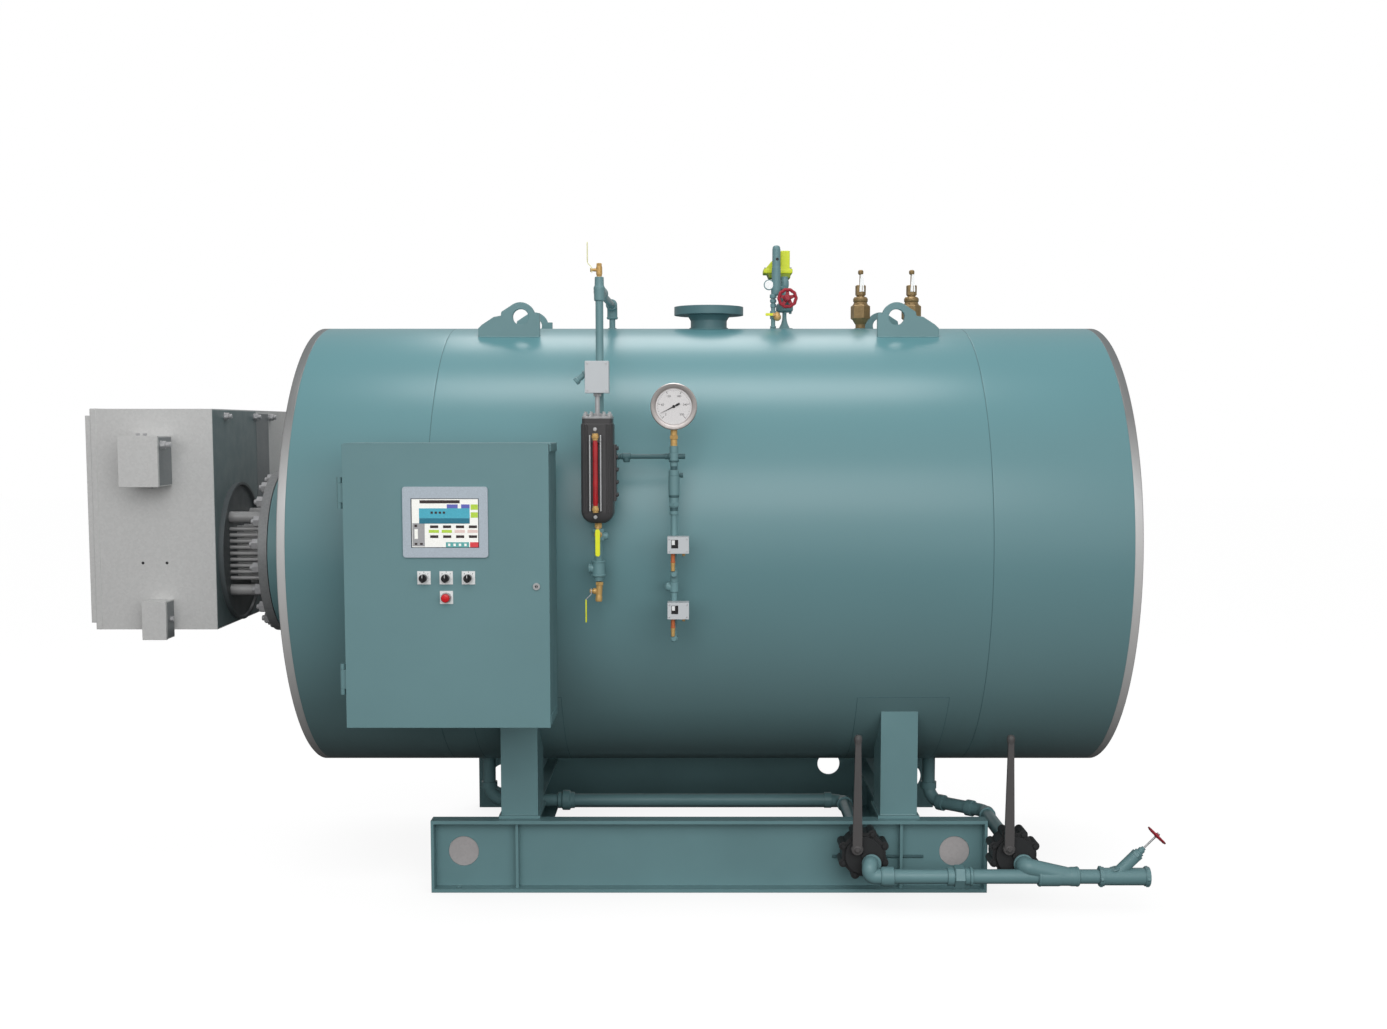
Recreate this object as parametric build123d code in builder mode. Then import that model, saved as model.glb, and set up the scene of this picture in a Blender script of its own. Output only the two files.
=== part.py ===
import os
from math import cos, pi, radians, sin, sqrt

from build123d import *

# Horizontal electric steam boiler on a channel skid.
# X runs along the vessel and away from the heater end, -Y is the operator's side, Z is up.
# The origin is at floor level, in the middle of the four anchor holes of the skid.

# Vessel and its lagging
lagging_r = 800
lagging_half_length = 1413
lagging_thickness = 38
shell_wall = 16
vessel_gap = 100
seam_from_end = 488
seam_gap = 3
end_band_width = 28
head_thickness = 50
crown_depth = 90
seat_gap = 0.3
cut_overrun = 5

# Lifting lugs
lug_plate = 22
lug_y = 250
lug_inner_x = 600
lug_outer_x = 819
lug_top_inner_x = 645
lug_top_outer_x = 690
lug_top_over_crown = 77
lug_shoulder_over_crown = 42
lug_outer_over_crown = -25
lug_hole_x = 668
lug_hole_over_crown = 27
lug_hole_r = 28
lug_corner_r = 12

# Skid
skid_length = 1900
skid_half_width = 640
rail_height = 250
rail_flange = 60
rail_web = 10
rail_flange_thickness = 12
rail_plate = 10
stiffener_inset = 292
stiffener_depth = 44
lifting_hole_inset = 105
lifting_hole_z = 132
lifting_hole_r = 52
lifting_cover_thickness = 6
pipe_hole_inset = 439
pipe_hole_z = 186
pipe_hole_r = 46
anchor_end_inset = 90
anchor_inset = 25
anchor_hole_r = 11
cross_member_inset = 300
cross_member_width = 60
cross_member_height = 208
cross_member_hole_r = 29
cross_member_wall = 8

# Saddles that carry the vessel
saddle_inset = 300
post_width = 126
post_depth = 200
post_inset = 40
base_plate_thickness = 10
base_plate_margin = 8
saddle_web = 14
saddle_pad_thickness = 12
saddle_pad_width = 90

# Heater and its terminal box
heater_over_axis = -25
heater_neck_r = 203
heater_neck_wall = 12
heater_flange_r = 299
heater_flange_thickness = 32
heater_gasket = 3
mating_flange_thickness = 36
heater_reach = 167
standoff_plate_r = 253
standoff_plate_thickness = 10
standoff_post_r = 20
standoff_post_spread = 134
element_tube_r = 7
element_rows = 9
element_pitch = 22.5
element_columns = 4
element_column_pitch = 93
terminal_box_width = 435
standoff_length = 154
terminal_box_front = -284
terminal_box_depth = 1040
terminal_box_bottom_over_axis = -288
terminal_box_height = 790
lid_thickness = 18
lid_inset = 24
upper_box_offset = 151
upper_box_width = 136
upper_box_over_axis = 230
upper_box_height = 176
upper_box_depth = 150
lower_box_offset = 197
lower_box_width = 83
lower_box_over_axis = -313
lower_box_height = 134
lower_box_depth = 90

# Control cabinet
cabinet_end_inset = 281
cabinet_width = 634
cabinet_bottom_over_axis = -495
cabinet_height = 880
cabinet_depth = 254
cabinet_standoff = 21
cabinet_wall = 3
door_thickness = 22
door_gap = 5
door_rim = 14
mounting_plate_thickness = 4
mounting_plate_margin = 45
mounting_plate_standoff = 12
hinge_pin_r = 4
hinge_barrel_r = 8
hinge_barrel_length = 60
hinge_ear_length = 18
hinge_clearance = 0.3
hinge_end_gap = 0.5
hinge_offset = 13.5
hinge_inset = 150
bracket_plate = 10
bracket_inset = 110
bracket_bottom_over_axis = -390
bracket_height = 720
panel_x = -816
panel_over_axis = 146
panel_width = 262
panel_height = 218
panel_depth = 8
panel_corner_r = 9
screen_width = 209
screen_height = 152
screen_recess = 3
screen_x_offset = -1
screen_z_offset = -3
switch_over_axis = -26
switch_pitch = 68.5
switch_plate_size = 41
switch_plate_thickness = 3
switch_collar_r = 15
switch_collar_length = 6
knob_gap = 1
knob_r = 12
knob_length = 20
knob_grip_width = 7
knob_grip_length = 10
knob_stub_r = 5
knob_stub_length = 8
stop_over_axis = -87
stop_collar_r = 16
stop_collar_length = 10
stop_neck_length = 10
stop_gap = 6
stop_head_r = 18
stop_head_length = 12
stop_neck_r = 9
stop_travel = 5
latch_x = -538
latch_over_axis = -53
latch_r = 11
latch_length = 6

# Water column with its gauge glass
column_x = -358
column_standoff = 80
column_width = 100
column_bottom_over_axis = 133
column_foot_height = 22
column_straight_height = 301
column_corner_r = 12
column_cap_height = 14
column_flange_height = 18
column_flange_inset = 5
glass_x_offset = -5
glass_half_length = 105
glass_middle_height = 137
glass_r = 9
glass_rail_spread = 17
glass_rail_width = 7
glass_rail_half_length = 122
glass_boss_width = 22
glass_boss_height = 18
glass_depth = 16
side_flange_width = 9
side_flange_height = 180
side_flange_depth = 70
switch_box_over_axis = 544
switch_box_height = 100
switch_box_width = 74
switch_box_depth = 58
switch_box_reach = 45
conduit_r = 6.5
column_pipe_x = -353
column_pipe_setback = 32
column_pipe_r = 12.5
column_pipe_over_crown = 74
column_pipe_bend = 42
fitting_wall = 5
vessel_tap_y = -40
tee_height = 74
tee_r = 21
vent_lower_height = 38
vent_height = 44
vent_r = 9.5
vent_body_r = 14
isolation_over_axis = 95
drain_pipe_over_axis = -14
drain_fitting_drop = 40
drain_valve_height = 67

# Ball valve levers
lever_length = 84
lever_width = 14
lever_thickness = 3
lever_hub_r = 8
lever_stem_r = 4
lever_clearance = 0.3
lever_crank = 14
short_lever_share = 0.5

# Gauge and pressure switches
gauge_tree_x = -116
tree_standoff = 80
gauge_tree_r = 10.5
gauge_cross_over_axis = 344
gauge_above_cross = 158
gauge_r = 74
gauge_depth = 42
gauge_bezel_width = 12
gauge_bezel_height = 5
gauge_plug_x = -82
gauge_valve_length = 89
gauge_valve_below_cross = 38
gauge_valve_r = 17
gauge_union_length = 51
gauge_nipple_length = 7
gauge_union_r = 15
pressure_stem_drop = 68
pressure_lower_stem_drop = 66
pressure_switch_width = 68
pressure_switch_height = 53
pressure_switch_depth = 56
pressure_switch_x = -102
pressure_switch_below_union = 121
pressure_switch_spacing = 209
pressure_stem_r = 6
pressure_stem_x = -119
tree_tap_drop = 40

# Steam outlet
steam_x = 3
steam_flange_r = 128
steam_flange_over_crown = 50
steam_flange_thickness = 30
steam_neck_top_r = 80
steam_neck_r = 67
steam_bore_r = 60
steam_bolt_circle_r = 108
steam_bolt_hole_r = 11
steam_bolt_count = 8

# Safety valves
safety_xs = (566, 755)
safety_inlet_r = 19.5
safety_inlet_over_crown = 31
safety_body_r = 38
safety_taper_height = 21
safety_body_height = 36
safety_shoulder_r = 31
safety_ring_r = 28
safety_ring_gap = 12
safety_ring_height = 13
safety_cap_r = 20
safety_cap_gap = 9
safety_cap_height = 38
safety_slot_width = 9
safety_blade_width = 20
safety_blade_thickness = 5
safety_blade_above_cap = 40
safety_blade_in_cap = 24
safety_knob_r = 11.5
safety_knob_above_blade = 8
safety_outlet_r = 27
safety_outlet_length = 62
safety_outlet_bore_r = 21
safety_outlet_height = 18

# Feed valve with its actuator
feed_x = 284
feed_neck_r = 9
feed_cone_r = 27
feed_cone_over_crown = 34
feed_neck_height = 27
feed_body_height = 87
feed_body_r = 30
feed_flange_r = 35
feed_wheel_height = 46
feed_wheel_x = 290
feed_wheel_reach = 86
feed_wheel_r = 37
feed_stem_r = 5
feed_bonnet_r = 14
feed_bonnet_length = 46
feed_upright_x = 251
feed_upright_r = 14
feed_upright_above_actuator = 12
feed_upright_reach = 42
feed_pipe_x = 240
feed_pipe_r = 8.5
feed_link_height = 2
feed_flange_height = 42
actuator_base_thickness = 32
actuator_base_width = 108
actuator_base_depth = 84
actuator_block_left = 270
actuator_block_right = 305
actuator_block_height = 68
actuator_neck_r = 17
feed_dial_x = 224
feed_dial_r = 16
feed_dial_height = 8
feed_cock_height = 15
feed_cock_x = 262

# Blowdown piping, valves and line
blowdown_pipe_r = 24
blowdown_bend = 60
blowdown_elbow_wall = 6
blowdown_elbow_length = 26
drop_left_x = -831
drop_right_step = 182
blowdown_run_z = 170
left_valve_inset = 432
right_valve_outset = 74
right_turn_y = -168
valve_z = 158
valve_gap = 12
valve_depth = 78
valve_r = 74
valve_lobe_r = 15
valve_lobe_count = 8
valve_cover_depth = 16
valve_cover_share = 0.86
valve_port_offset = 22
valve_lever_offset = -26
valve_pivot_z = 186
valve_lever_r = 12
valve_lever_length = 386
valve_hub_r = 22
valve_hub_depth = 20
valve_shaft_r = 8
shaft_clearance = 0.3
lever_face_gap = 6
line_reach = 160
port_rise = 34
elbow_reach = 36
elbow_bend = 30
elbow_bead = 12
line_z = 103
line_union_offset = 309
line_union_r = 38
line_union_length = 36
line_tee_offset = 63
line_tee_length = 136
line_tee_r = 32
yvalve_gap = 67
yvalve_length = 166
yvalve_end_r = 32
yvalve_body_r = 34
yvalve_bonnet_length = 118
yvalve_bonnet_r = 20
yvalve_root_offset = 50
yvalve_nut_r = 16
yvalve_stem_r = 6
yvalve_wheel_r = 38
yvalve_wheel_distance = 196
yvalve_bore_r = 20

# Handwheels
wheel_rim_r = 5
wheel_hub_r = 10
wheel_hub_length = 14
wheel_spoke_r = 3.2
wheel_spokes = 5
stem_engagement = 24

# Places that follow from the sizes above
axis_height = rail_height + vessel_gap + lagging_r
crown_top = axis_height + lagging_r
lug_top_z = crown_top + lug_top_over_crown
lug_shoulder_z = crown_top + lug_shoulder_over_crown
lug_outer_z = crown_top + lug_outer_over_crown
lug_hole_z = crown_top + lug_hole_over_crown
heater_z = axis_height + heater_over_axis
terminal_box_bottom = axis_height + terminal_box_bottom_over_axis
upper_box_bottom = axis_height + upper_box_over_axis
lower_box_bottom = axis_height + lower_box_over_axis
cabinet_bottom = axis_height + cabinet_bottom_over_axis
bracket_bottom = axis_height + bracket_bottom_over_axis
panel_z = axis_height + panel_over_axis
switch_z = axis_height + switch_over_axis
stop_z = axis_height + stop_over_axis
latch_z = axis_height + latch_over_axis
column_bottom = axis_height + column_bottom_over_axis
switch_box_bottom = axis_height + switch_box_over_axis
column_pipe_turn_z = crown_top + column_pipe_over_crown
isolation_z = axis_height + isolation_over_axis
drain_pipe_z = axis_height + drain_pipe_over_axis
gauge_cross_z = axis_height + gauge_cross_over_axis
steam_flange_bottom = crown_top + steam_flange_over_crown
safety_inlet_top = crown_top + safety_inlet_over_crown
feed_cone_top = crown_top + feed_cone_over_crown
terminal_box_top = terminal_box_bottom + terminal_box_height
upper_box_top = upper_box_bottom + upper_box_height
lower_box_top = lower_box_bottom + lower_box_height
bracket_top = bracket_bottom + bracket_height
column_shoulder = column_bottom + column_foot_height
column_top = column_shoulder + column_straight_height
glass_z = column_shoulder + glass_middle_height
switch_box_top = switch_box_bottom + switch_box_height
vent_bottom = column_pipe_turn_z + vent_lower_height
vent_top = vent_bottom + vent_height
drain_fitting_bottom = drain_pipe_z - drain_fitting_drop
drain_valve_bottom = drain_fitting_bottom - drain_valve_height
gauge_z = gauge_cross_z + gauge_above_cross
gauge_valve_top = gauge_cross_z - gauge_valve_below_cross
gauge_valve_bottom = gauge_valve_top - gauge_valve_length
gauge_union_top = gauge_valve_bottom - gauge_nipple_length
gauge_union_bottom = gauge_union_top - gauge_union_length
pressure_switch_upper_z = gauge_union_bottom - pressure_switch_below_union
branch_upper_z = pressure_switch_upper_z - pressure_stem_drop
tree_tap_z = branch_upper_z - tree_tap_drop
pressure_switch_lower_z = pressure_switch_upper_z - pressure_switch_spacing
branch_lower_z = pressure_switch_lower_z - pressure_lower_stem_drop
gauge_tree_bottom = branch_lower_z
steam_flange_top = steam_flange_bottom + steam_flange_thickness
safety_body_bottom = safety_inlet_top + safety_taper_height
safety_body_top = safety_body_bottom + safety_body_height
safety_ring_bottom = safety_body_top + safety_ring_gap
safety_ring_top = safety_ring_bottom + safety_ring_height
safety_cap_bottom = safety_ring_top + safety_cap_gap
safety_cap_top = safety_cap_bottom + safety_cap_height
safety_blade_top = safety_cap_top + safety_blade_above_cap
safety_blade_bottom = safety_cap_top - safety_blade_in_cap
safety_knob_z = safety_blade_top + safety_knob_above_blade
safety_outlet_z = safety_body_bottom + safety_outlet_height
feed_body_bottom = feed_cone_top + feed_neck_height
feed_body_top = feed_body_bottom + feed_body_height
feed_wheel_z = feed_body_bottom + feed_wheel_height
feed_link_z = feed_body_top + feed_link_height
feed_dial_z = feed_link_z + feed_dial_height
feed_cock_z = feed_cone_top + feed_cock_height
actuator_base_bottom = feed_body_top + feed_flange_height
actuator_base_top = actuator_base_bottom + actuator_base_thickness
actuator_top = actuator_base_top + actuator_block_height
feed_upright_top = actuator_top + feed_upright_above_actuator
seam_x = lagging_half_length - seam_from_end
heater_flange_x = -lagging_half_length - heater_reach
terminal_box_right = heater_flange_x - heater_flange_thickness - standoff_length
terminal_box_left = terminal_box_right - terminal_box_width
upper_box_left = terminal_box_left + upper_box_offset
upper_box_right = upper_box_left + upper_box_width
lower_box_left = terminal_box_left + lower_box_offset
lower_box_right = lower_box_left + lower_box_width
terminal_box_back = terminal_box_front + terminal_box_depth
cabinet_left = cabinet_end_inset - lagging_half_length
cabinet_back = -lagging_r - cabinet_standoff
cabinet_front = cabinet_back - cabinet_depth
column_y = -lagging_r - column_standoff
gauge_tree_y = -lagging_r - tree_standoff
switch_box_front = column_y - switch_box_reach
column_pipe_y = column_y + column_pipe_setback
post_front_y = post_inset - skid_half_width
feed_wheel_y = -feed_wheel_reach
feed_upright_y = -feed_upright_reach
lifting_hole_x = skid_length / 2 - lifting_hole_inset
anchor_x = skid_length / 2 - anchor_end_inset
stiffener_x = skid_length / 2 - stiffener_inset
cross_member_x = skid_length / 2 - cross_member_inset
saddle_x = skid_length / 2 - saddle_inset
left_valve_x = skid_length / 2 - left_valve_inset
right_valve_x = skid_length / 2 + right_valve_outset
pipe_hole_x = skid_length / 2 - pipe_hole_inset
valve_back_y = -skid_half_width - valve_gap
line_y = -skid_half_width - line_reach
port_z = line_z + port_rise
line_tee_left = right_valve_x + line_tee_offset
line_tee_right = line_tee_left + line_tee_length
yvalve_left = line_tee_right + yvalve_gap
yvalve_right = yvalve_left + yvalve_length
yvalve_root_x = yvalve_left + yvalve_root_offset
line_union_x = left_valve_x + line_union_offset
valve_lever_top = valve_pivot_z + valve_lever_length
drop_right_x = right_valve_x - drop_right_step

os.makedirs("parts", exist_ok=True)

shell_r = lagging_r - lagging_thickness
shell_bore_r = shell_r - shell_wall
band_inner_x = lagging_half_length - end_band_width
rail_web_y = skid_half_width - rail_flange
cabinet_right = cabinet_left + cabinet_width
cabinet_top = cabinet_bottom + cabinet_height
door_back = cabinet_front + door_thickness
cabinet_rim_y = door_back + door_gap


def write(part, label):
    part.label = label
    export_step(part, f"parts/{label}.step")


# A block between two corners
def block(low, high, mode=Mode.ADD):
    plane = Plane(origin=(low[0], low[1], low[2]), x_dir=(1, 0, 0), z_dir=(0, 0, 1))
    with BuildSketch(plane) as face:
        Rectangle(high[0] - low[0], high[1] - low[1], align=(Align.MIN, Align.MIN))
    extrude(face.sketch, amount=high[2] - low[2], mode=mode)


# A round bar between two points
def bar(start, end, radius, mode=Mode.ADD):
    run = Vector(*end) - Vector(*start)
    with BuildSketch(Plane(origin=start, z_dir=run)) as face:
        Circle(radius)
    extrude(face.sketch, amount=run.length, mode=mode)


# A turned piece: steps along the direction, each (distance from the origin, radius)
def turned(origin, direction, steps, mode=Mode.ADD):
    along = Vector(*direction).normalized()
    side = Vector(0, 1, 0) if abs(along.Y) < abs(along.X) + abs(along.Z) else Vector(1, 0, 0)
    with BuildSketch(Plane(origin=origin, x_dir=along, z_dir=along.cross(side))) as face:
        with BuildLine():
            Polyline((steps[0][0], 0), *steps, (steps[-1][0], 0), close=True)
        make_face()
    revolve(face.sketch, axis=Axis(origin, tuple(along)), mode=mode)


# A pipe along straight runs with round bends
def pipe(points, radius, bend):
    with BuildLine() as path:
        FilletPolyline(*points, radius=bend)
    start = Vector(*points[0])
    with BuildSketch(Plane(origin=start, z_dir=Vector(*points[1]) - start)) as face:
        Circle(radius)
    sweep(face.sketch, path=path.line)


# Cuts away all that lies inside the lagged vessel
def trim_to_vessel(radius=lagging_r + seat_gap):
    with BuildSketch(Plane.YZ.offset(-lagging_half_length)) as face:
        with Locations((0, axis_height)):
            Circle(radius)
    extrude(face.sketch, amount=2 * lagging_half_length, mode=Mode.SUBTRACT)


# A ring section of the vessel between two places along it
def vessel_ring(left, right, outer, inner):
    with BuildSketch(Plane.YZ.offset(left)) as face:
        with Locations((0, axis_height)):
            Circle(outer)
            Circle(inner, mode=Mode.SUBTRACT)
    extrude(face.sketch, amount=right - left)


# A spoked handwheel about an axis, with its stem
def handwheel(centre, direction, radius, stem_r, stem_length):
    along = Vector(*direction).normalized()
    middle = Vector(*centre)
    side = Vector(0, 1, 0) if abs(along.Y) < abs(along.X) + abs(along.Z) else Vector(1, 0, 0)
    flat = along.cross(side).normalized()
    rim = radius - wheel_rim_r
    with BuildSketch(Plane(origin=middle, x_dir=side, z_dir=flat)) as face:
        with Locations((rim, 0)):
            Circle(wheel_rim_r)
    revolve(face.sketch, axis=Axis(tuple(middle), tuple(along)))
    half = wheel_hub_length / 2
    turned(tuple(middle), tuple(along), [(-half, wheel_hub_r), (half, wheel_hub_r)])
    for number in range(wheel_spokes):
        angle = 2 * pi * (number + 1 / 4) / wheel_spokes
        outward = side * cos(angle) + flat * sin(angle)
        bar(tuple(middle + outward * (wheel_hub_r / 2)), tuple(middle + outward * rim), wheel_spoke_r)
    bar(tuple(middle), tuple(middle - along * stem_length), stem_r)


# A ball valve lever: a hub on the stem, a cranked arm and a flat grip
def cock_lever(stem, out, arm, share=1):
    outward = Vector(*out)
    reach = Vector(*arm)
    across = outward.cross(reach)
    base = Vector(*stem)
    turned(tuple(base), tuple(outward), [(-lever_crank, lever_stem_r), (0, lever_stem_r)])
    turned(tuple(base), tuple(outward), [(0, lever_hub_r), (lever_thickness, lever_hub_r)])
    crank = lever_crank * share
    length = lever_length * share
    profile = Plane(origin=base - across * (lever_width / 2), x_dir=reach, z_dir=across)
    up = outward.dot(profile.y_dir)
    with BuildSketch(profile) as face:
        with BuildLine():
            Polyline(
                (0, 0),
                (crank / 2, 0),
                (crank * 3 / 2, up * crank),
                (length, up * crank),
                (length, up * (crank + lever_thickness)),
                (crank, up * (crank + lever_thickness)),
                (0, up * lever_thickness),
                close=True,
            )
        make_face()
    extrude(face.sketch, amount=lever_width)


# Skid rails: channels with their toes outward, end plates, stiffeners and lifting holes
for side_name, side in (("front", -1), ("rear", 1)):
    toe = side * skid_half_width
    web = side * rail_web_y
    web_out = web + side * rail_web
    low_y, high_y = min(web, toe), max(web, toe)
    web_low, web_high = min(web, web_out), max(web, web_out)
    half = skid_length / 2
    with BuildPart() as rail:
        block((-half, web_low, 0), (half, web_high, rail_height))
        block((-half, low_y, 0), (half, high_y, rail_flange_thickness))
        block((-half, low_y, rail_height - rail_flange_thickness), (half, high_y, rail_height))
        for end in (-1, 1):
            plate_x = end * (half - rail_plate / 2)
            block((plate_x - rail_plate / 2, low_y, 0), (plate_x + rail_plate / 2, high_y, rail_height))
            rib_low = min(web, web + side * stiffener_depth)
            rib_high = max(web, web + side * stiffener_depth)
            block(
                (end * stiffener_x - rail_plate / 2, rib_low, 0),
                (end * stiffener_x + rail_plate / 2, rib_high, rail_height),
            )
            bar(
                (end * lifting_hole_x, web_low - cut_overrun, lifting_hole_z),
                (end * lifting_hole_x, web_high + cut_overrun, lifting_hole_z),
                lifting_hole_r,
                mode=Mode.SUBTRACT,
            )
            anchor_y = toe - side * anchor_inset
            bar(
                (end * anchor_x, anchor_y, -cut_overrun),
                (end * anchor_x, anchor_y, rail_flange_thickness + cut_overrun),
                anchor_hole_r,
                mode=Mode.SUBTRACT,
            )
        hole_x = pipe_hole_x if side > 0 else left_valve_x
        hole_z = pipe_hole_z if side > 0 else blowdown_run_z
        bar(
            (hole_x, web_low - cut_overrun, hole_z),
            (hole_x, web_high + cut_overrun, hole_z),
            pipe_hole_r,
            mode=Mode.SUBTRACT,
        )
    write(rail.part, f"skid_rail_{side_name}")

# Round covers that close the front rail's lifting holes
with BuildPart() as lifting_covers:
    for end in (-1, 1):
        bar(
            (end * lifting_hole_x, -rail_web_y, lifting_hole_z),
            (end * lifting_hole_x, -rail_web_y - lifting_cover_thickness, lifting_hole_z),
            lifting_hole_r - seat_gap,
        )
write(lifting_covers.part, "lifting_covers")

# Cross members between the rails, channels on their side
with BuildPart() as cross_members:
    for end in (-1, 1):
        outer_x = end * (cross_member_x + cross_member_width / 2)
        inner_x = end * (cross_member_x - cross_member_width / 2)
        wall_x = outer_x - end * cross_member_wall
        left, right = min(outer_x, inner_x), max(outer_x, inner_x)
        reach = rail_web_y - seat_gap
        block((left, -reach, 0), (right, reach, cross_member_wall))
        block((left, -reach, cross_member_height - cross_member_wall), (right, reach, cross_member_height))
        block((min(outer_x, wall_x), -reach, 0), (max(outer_x, wall_x), reach, cross_member_height))
    bar(
        (-cross_member_x - cross_member_width, 0, blowdown_run_z),
        (-cross_member_x + cross_member_width, 0, blowdown_run_z),
        cross_member_hole_r,
        mode=Mode.SUBTRACT,
    )
write(cross_members.part, "cross_members")

# Saddles: two box posts on base plates, a web between them and a pad against the vessel
web_reach = abs(post_front_y) - post_depth
pad_r = lagging_r + seat_gap
pad_top = axis_height - sqrt(pad_r**2 - web_reach**2)
with BuildPart() as saddles:
    for side in (-1, 1):
        centre = side * saddle_x
        for facing in (-1, 1):
            outer_y = facing * abs(post_front_y)
            inner_y = outer_y - facing * post_depth
            low_y, high_y = min(outer_y, inner_y), max(outer_y, inner_y)
            plate_top = rail_height + base_plate_thickness
            block(
                (centre - post_width / 2, low_y, rail_height),
                (centre + post_width / 2, high_y, axis_height),
            )
            block(
                (centre - post_width / 2 - base_plate_margin, low_y - base_plate_margin, rail_height),
                (centre + post_width / 2 + base_plate_margin, high_y + base_plate_margin, plate_top),
            )
        block(
            (centre - saddle_web / 2, -web_reach, rail_height),
            (centre + saddle_web / 2, web_reach, axis_height),
        )
    trim_to_vessel()
    for side in (-1, 1):
        centre = side * saddle_x
        with BuildSketch(Plane.YZ.offset(centre - saddle_pad_width / 2)) as pad:
            with Locations((0, axis_height)):
                Circle(pad_r + saddle_pad_thickness)
                Circle(pad_r, mode=Mode.SUBTRACT)
            with Locations((0, pad_top)):
                Rectangle(2 * web_reach, pad_r, align=(Align.CENTER, Align.MAX), mode=Mode.INTERSECT)
        extrude(pad.sketch, amount=saddle_pad_width)
write(saddles.part, "saddles")


# The steam nozzle's opening in the top of the shell and the lagging
def steam_opening():
    foot = (steam_x, 0, axis_height)
    top = (steam_x, 0, axis_height + lagging_r + cut_overrun)
    bar(foot, top, steam_bore_r, mode=Mode.SUBTRACT)


# Pressure shell
with BuildPart() as vessel_shell:
    vessel_ring(-band_inner_x, band_inner_x, shell_r, shell_bore_r)
    steam_opening()
write(vessel_shell.part, "vessel_shell")

# Lagging in three jacketed sections
for label, left, right in (
    ("lagging_left", -band_inner_x, -seam_x - seam_gap / 2),
    ("lagging_middle", -seam_x + seam_gap / 2, seam_x - seam_gap / 2),
    ("lagging_right", seam_x + seam_gap / 2, band_inner_x),
):
    with BuildPart() as lagging:
        vessel_ring(left, right, lagging_r, shell_r)
        steam_opening()
    write(lagging.part, label)

# Bright end bands
with BuildPart() as end_bands:
    for left in (-lagging_half_length, band_inner_x):
        vessel_ring(left, left + end_band_width, lagging_r, shell_r)
write(end_bands.part, "end_bands")

# Dished heads: a short skirt and a spherical crown, hollow behind
crown_r = (shell_r**2 + crown_depth**2) / (2 * crown_depth)


# A point half way up a spherical crown that stands on a rim
def crown_middle(base_x, rim_r, rise, side):
    sphere_r = (rim_r**2 + rise**2) / (2 * rise)
    height = rim_r / 2
    return (base_x + side * (rise - sphere_r + sqrt(sphere_r**2 - height**2)), axis_height + height)


for side_name, side in (("left", -1), ("right", 1)):
    tip_x = side * (lagging_half_length + crown_depth)
    skirt_x = side * band_inner_x
    edge_x = side * lagging_half_length
    inner_r = shell_r - head_thickness
    with BuildPart() as head:
        with BuildSketch(Plane.XZ) as face:
            with BuildLine():
                inner_tip = (tip_x - side * head_thickness, axis_height)
                inner_edge = (skirt_x, axis_height + inner_r)
                outer_edge = (edge_x, axis_height + shell_r)
                Line((tip_x, axis_height), inner_tip)
                inner_rise = abs(inner_tip[0] - skirt_x)
                ThreePointArc(inner_tip, crown_middle(skirt_x, inner_r, inner_rise, side), inner_edge)
                Line(inner_edge, (skirt_x, axis_height + shell_r))
                Line((skirt_x, axis_height + shell_r), outer_edge)
                outer_tip = (tip_x, axis_height)
                ThreePointArc(outer_edge, crown_middle(edge_x, shell_r, crown_depth, side), outer_tip)
            make_face()
        revolve(face.sketch, axis=Axis((0, 0, axis_height), (1, 0, 0)))
    write(head.part, f"head_{side_name}")

# Lifting lugs: profiled plates standing on the lagging, two at each end
with BuildPart() as lifting_lugs:
    for end in (-1, 1):
        for facing in (-1, 1):
            with BuildSketch(Plane.XZ.offset(-facing * lug_y - lug_plate / 2)) as face:
                with BuildLine():
                    Polyline(
                        (end * lug_inner_x, axis_height),
                        (end * lug_inner_x, lug_shoulder_z),
                        (end * lug_top_inner_x, lug_top_z),
                        (end * lug_top_outer_x, lug_top_z),
                        (end * lug_outer_x, lug_outer_z),
                        (end * lug_outer_x, axis_height),
                        close=True,
                    )
                make_face()
                fillet(face.vertices().group_by(Axis.Y)[1:], radius=lug_corner_r)
                with Locations((end * lug_hole_x, lug_hole_z)):
                    Circle(lug_hole_r, mode=Mode.SUBTRACT)
            extrude(face.sketch, amount=lug_plate)
    trim_to_vessel()
write(lifting_lugs.part, "lifting_lugs")

# Heater nozzle: a neck from the left head with a mating flange, open inside
flange_left_x = heater_flange_x - heater_flange_thickness
gasket_right_x = heater_flange_x + heater_gasket
mating_right_x = gasket_right_x + mating_flange_thickness
with BuildPart() as heater_nozzle:
    heater_line = (gasket_right_x, 0, heater_z)
    turned(heater_line, (1, 0, 0), [(0, heater_flange_r), (mating_flange_thickness, heater_flange_r)])
    turned(heater_line, (1, 0, 0), [(0, heater_neck_r), (-gasket_right_x - band_inner_x, heater_neck_r)])
    with Locations((crown_r - lagging_half_length - crown_depth, 0, axis_height)):
        Sphere(crown_r + seat_gap, mode=Mode.SUBTRACT)
    bar(
        (gasket_right_x - cut_overrun, 0, heater_z),
        (-band_inner_x, 0, heater_z),
        heater_neck_r - heater_neck_wall,
        mode=Mode.SUBTRACT,
    )
write(heater_nozzle.part, "heater_nozzle")

# Gasket between the two heater flanges
with BuildPart() as heater_gasket_ring:
    bar((heater_flange_x, 0, heater_z), (gasket_right_x, 0, heater_z), heater_flange_r - heater_neck_wall)
    bar(
        (heater_flange_x - cut_overrun, 0, heater_z),
        (gasket_right_x + cut_overrun, 0, heater_z),
        heater_neck_r,
        mode=Mode.SUBTRACT,
    )
write(heater_gasket_ring.part, "heater_gasket")

# Heater flange, a thick blind plate
with BuildPart() as heater_flange:
    bar((flange_left_x, 0, heater_z), (heater_flange_x, 0, heater_z), heater_flange_r)
write(heater_flange.part, "heater_flange")

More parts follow.
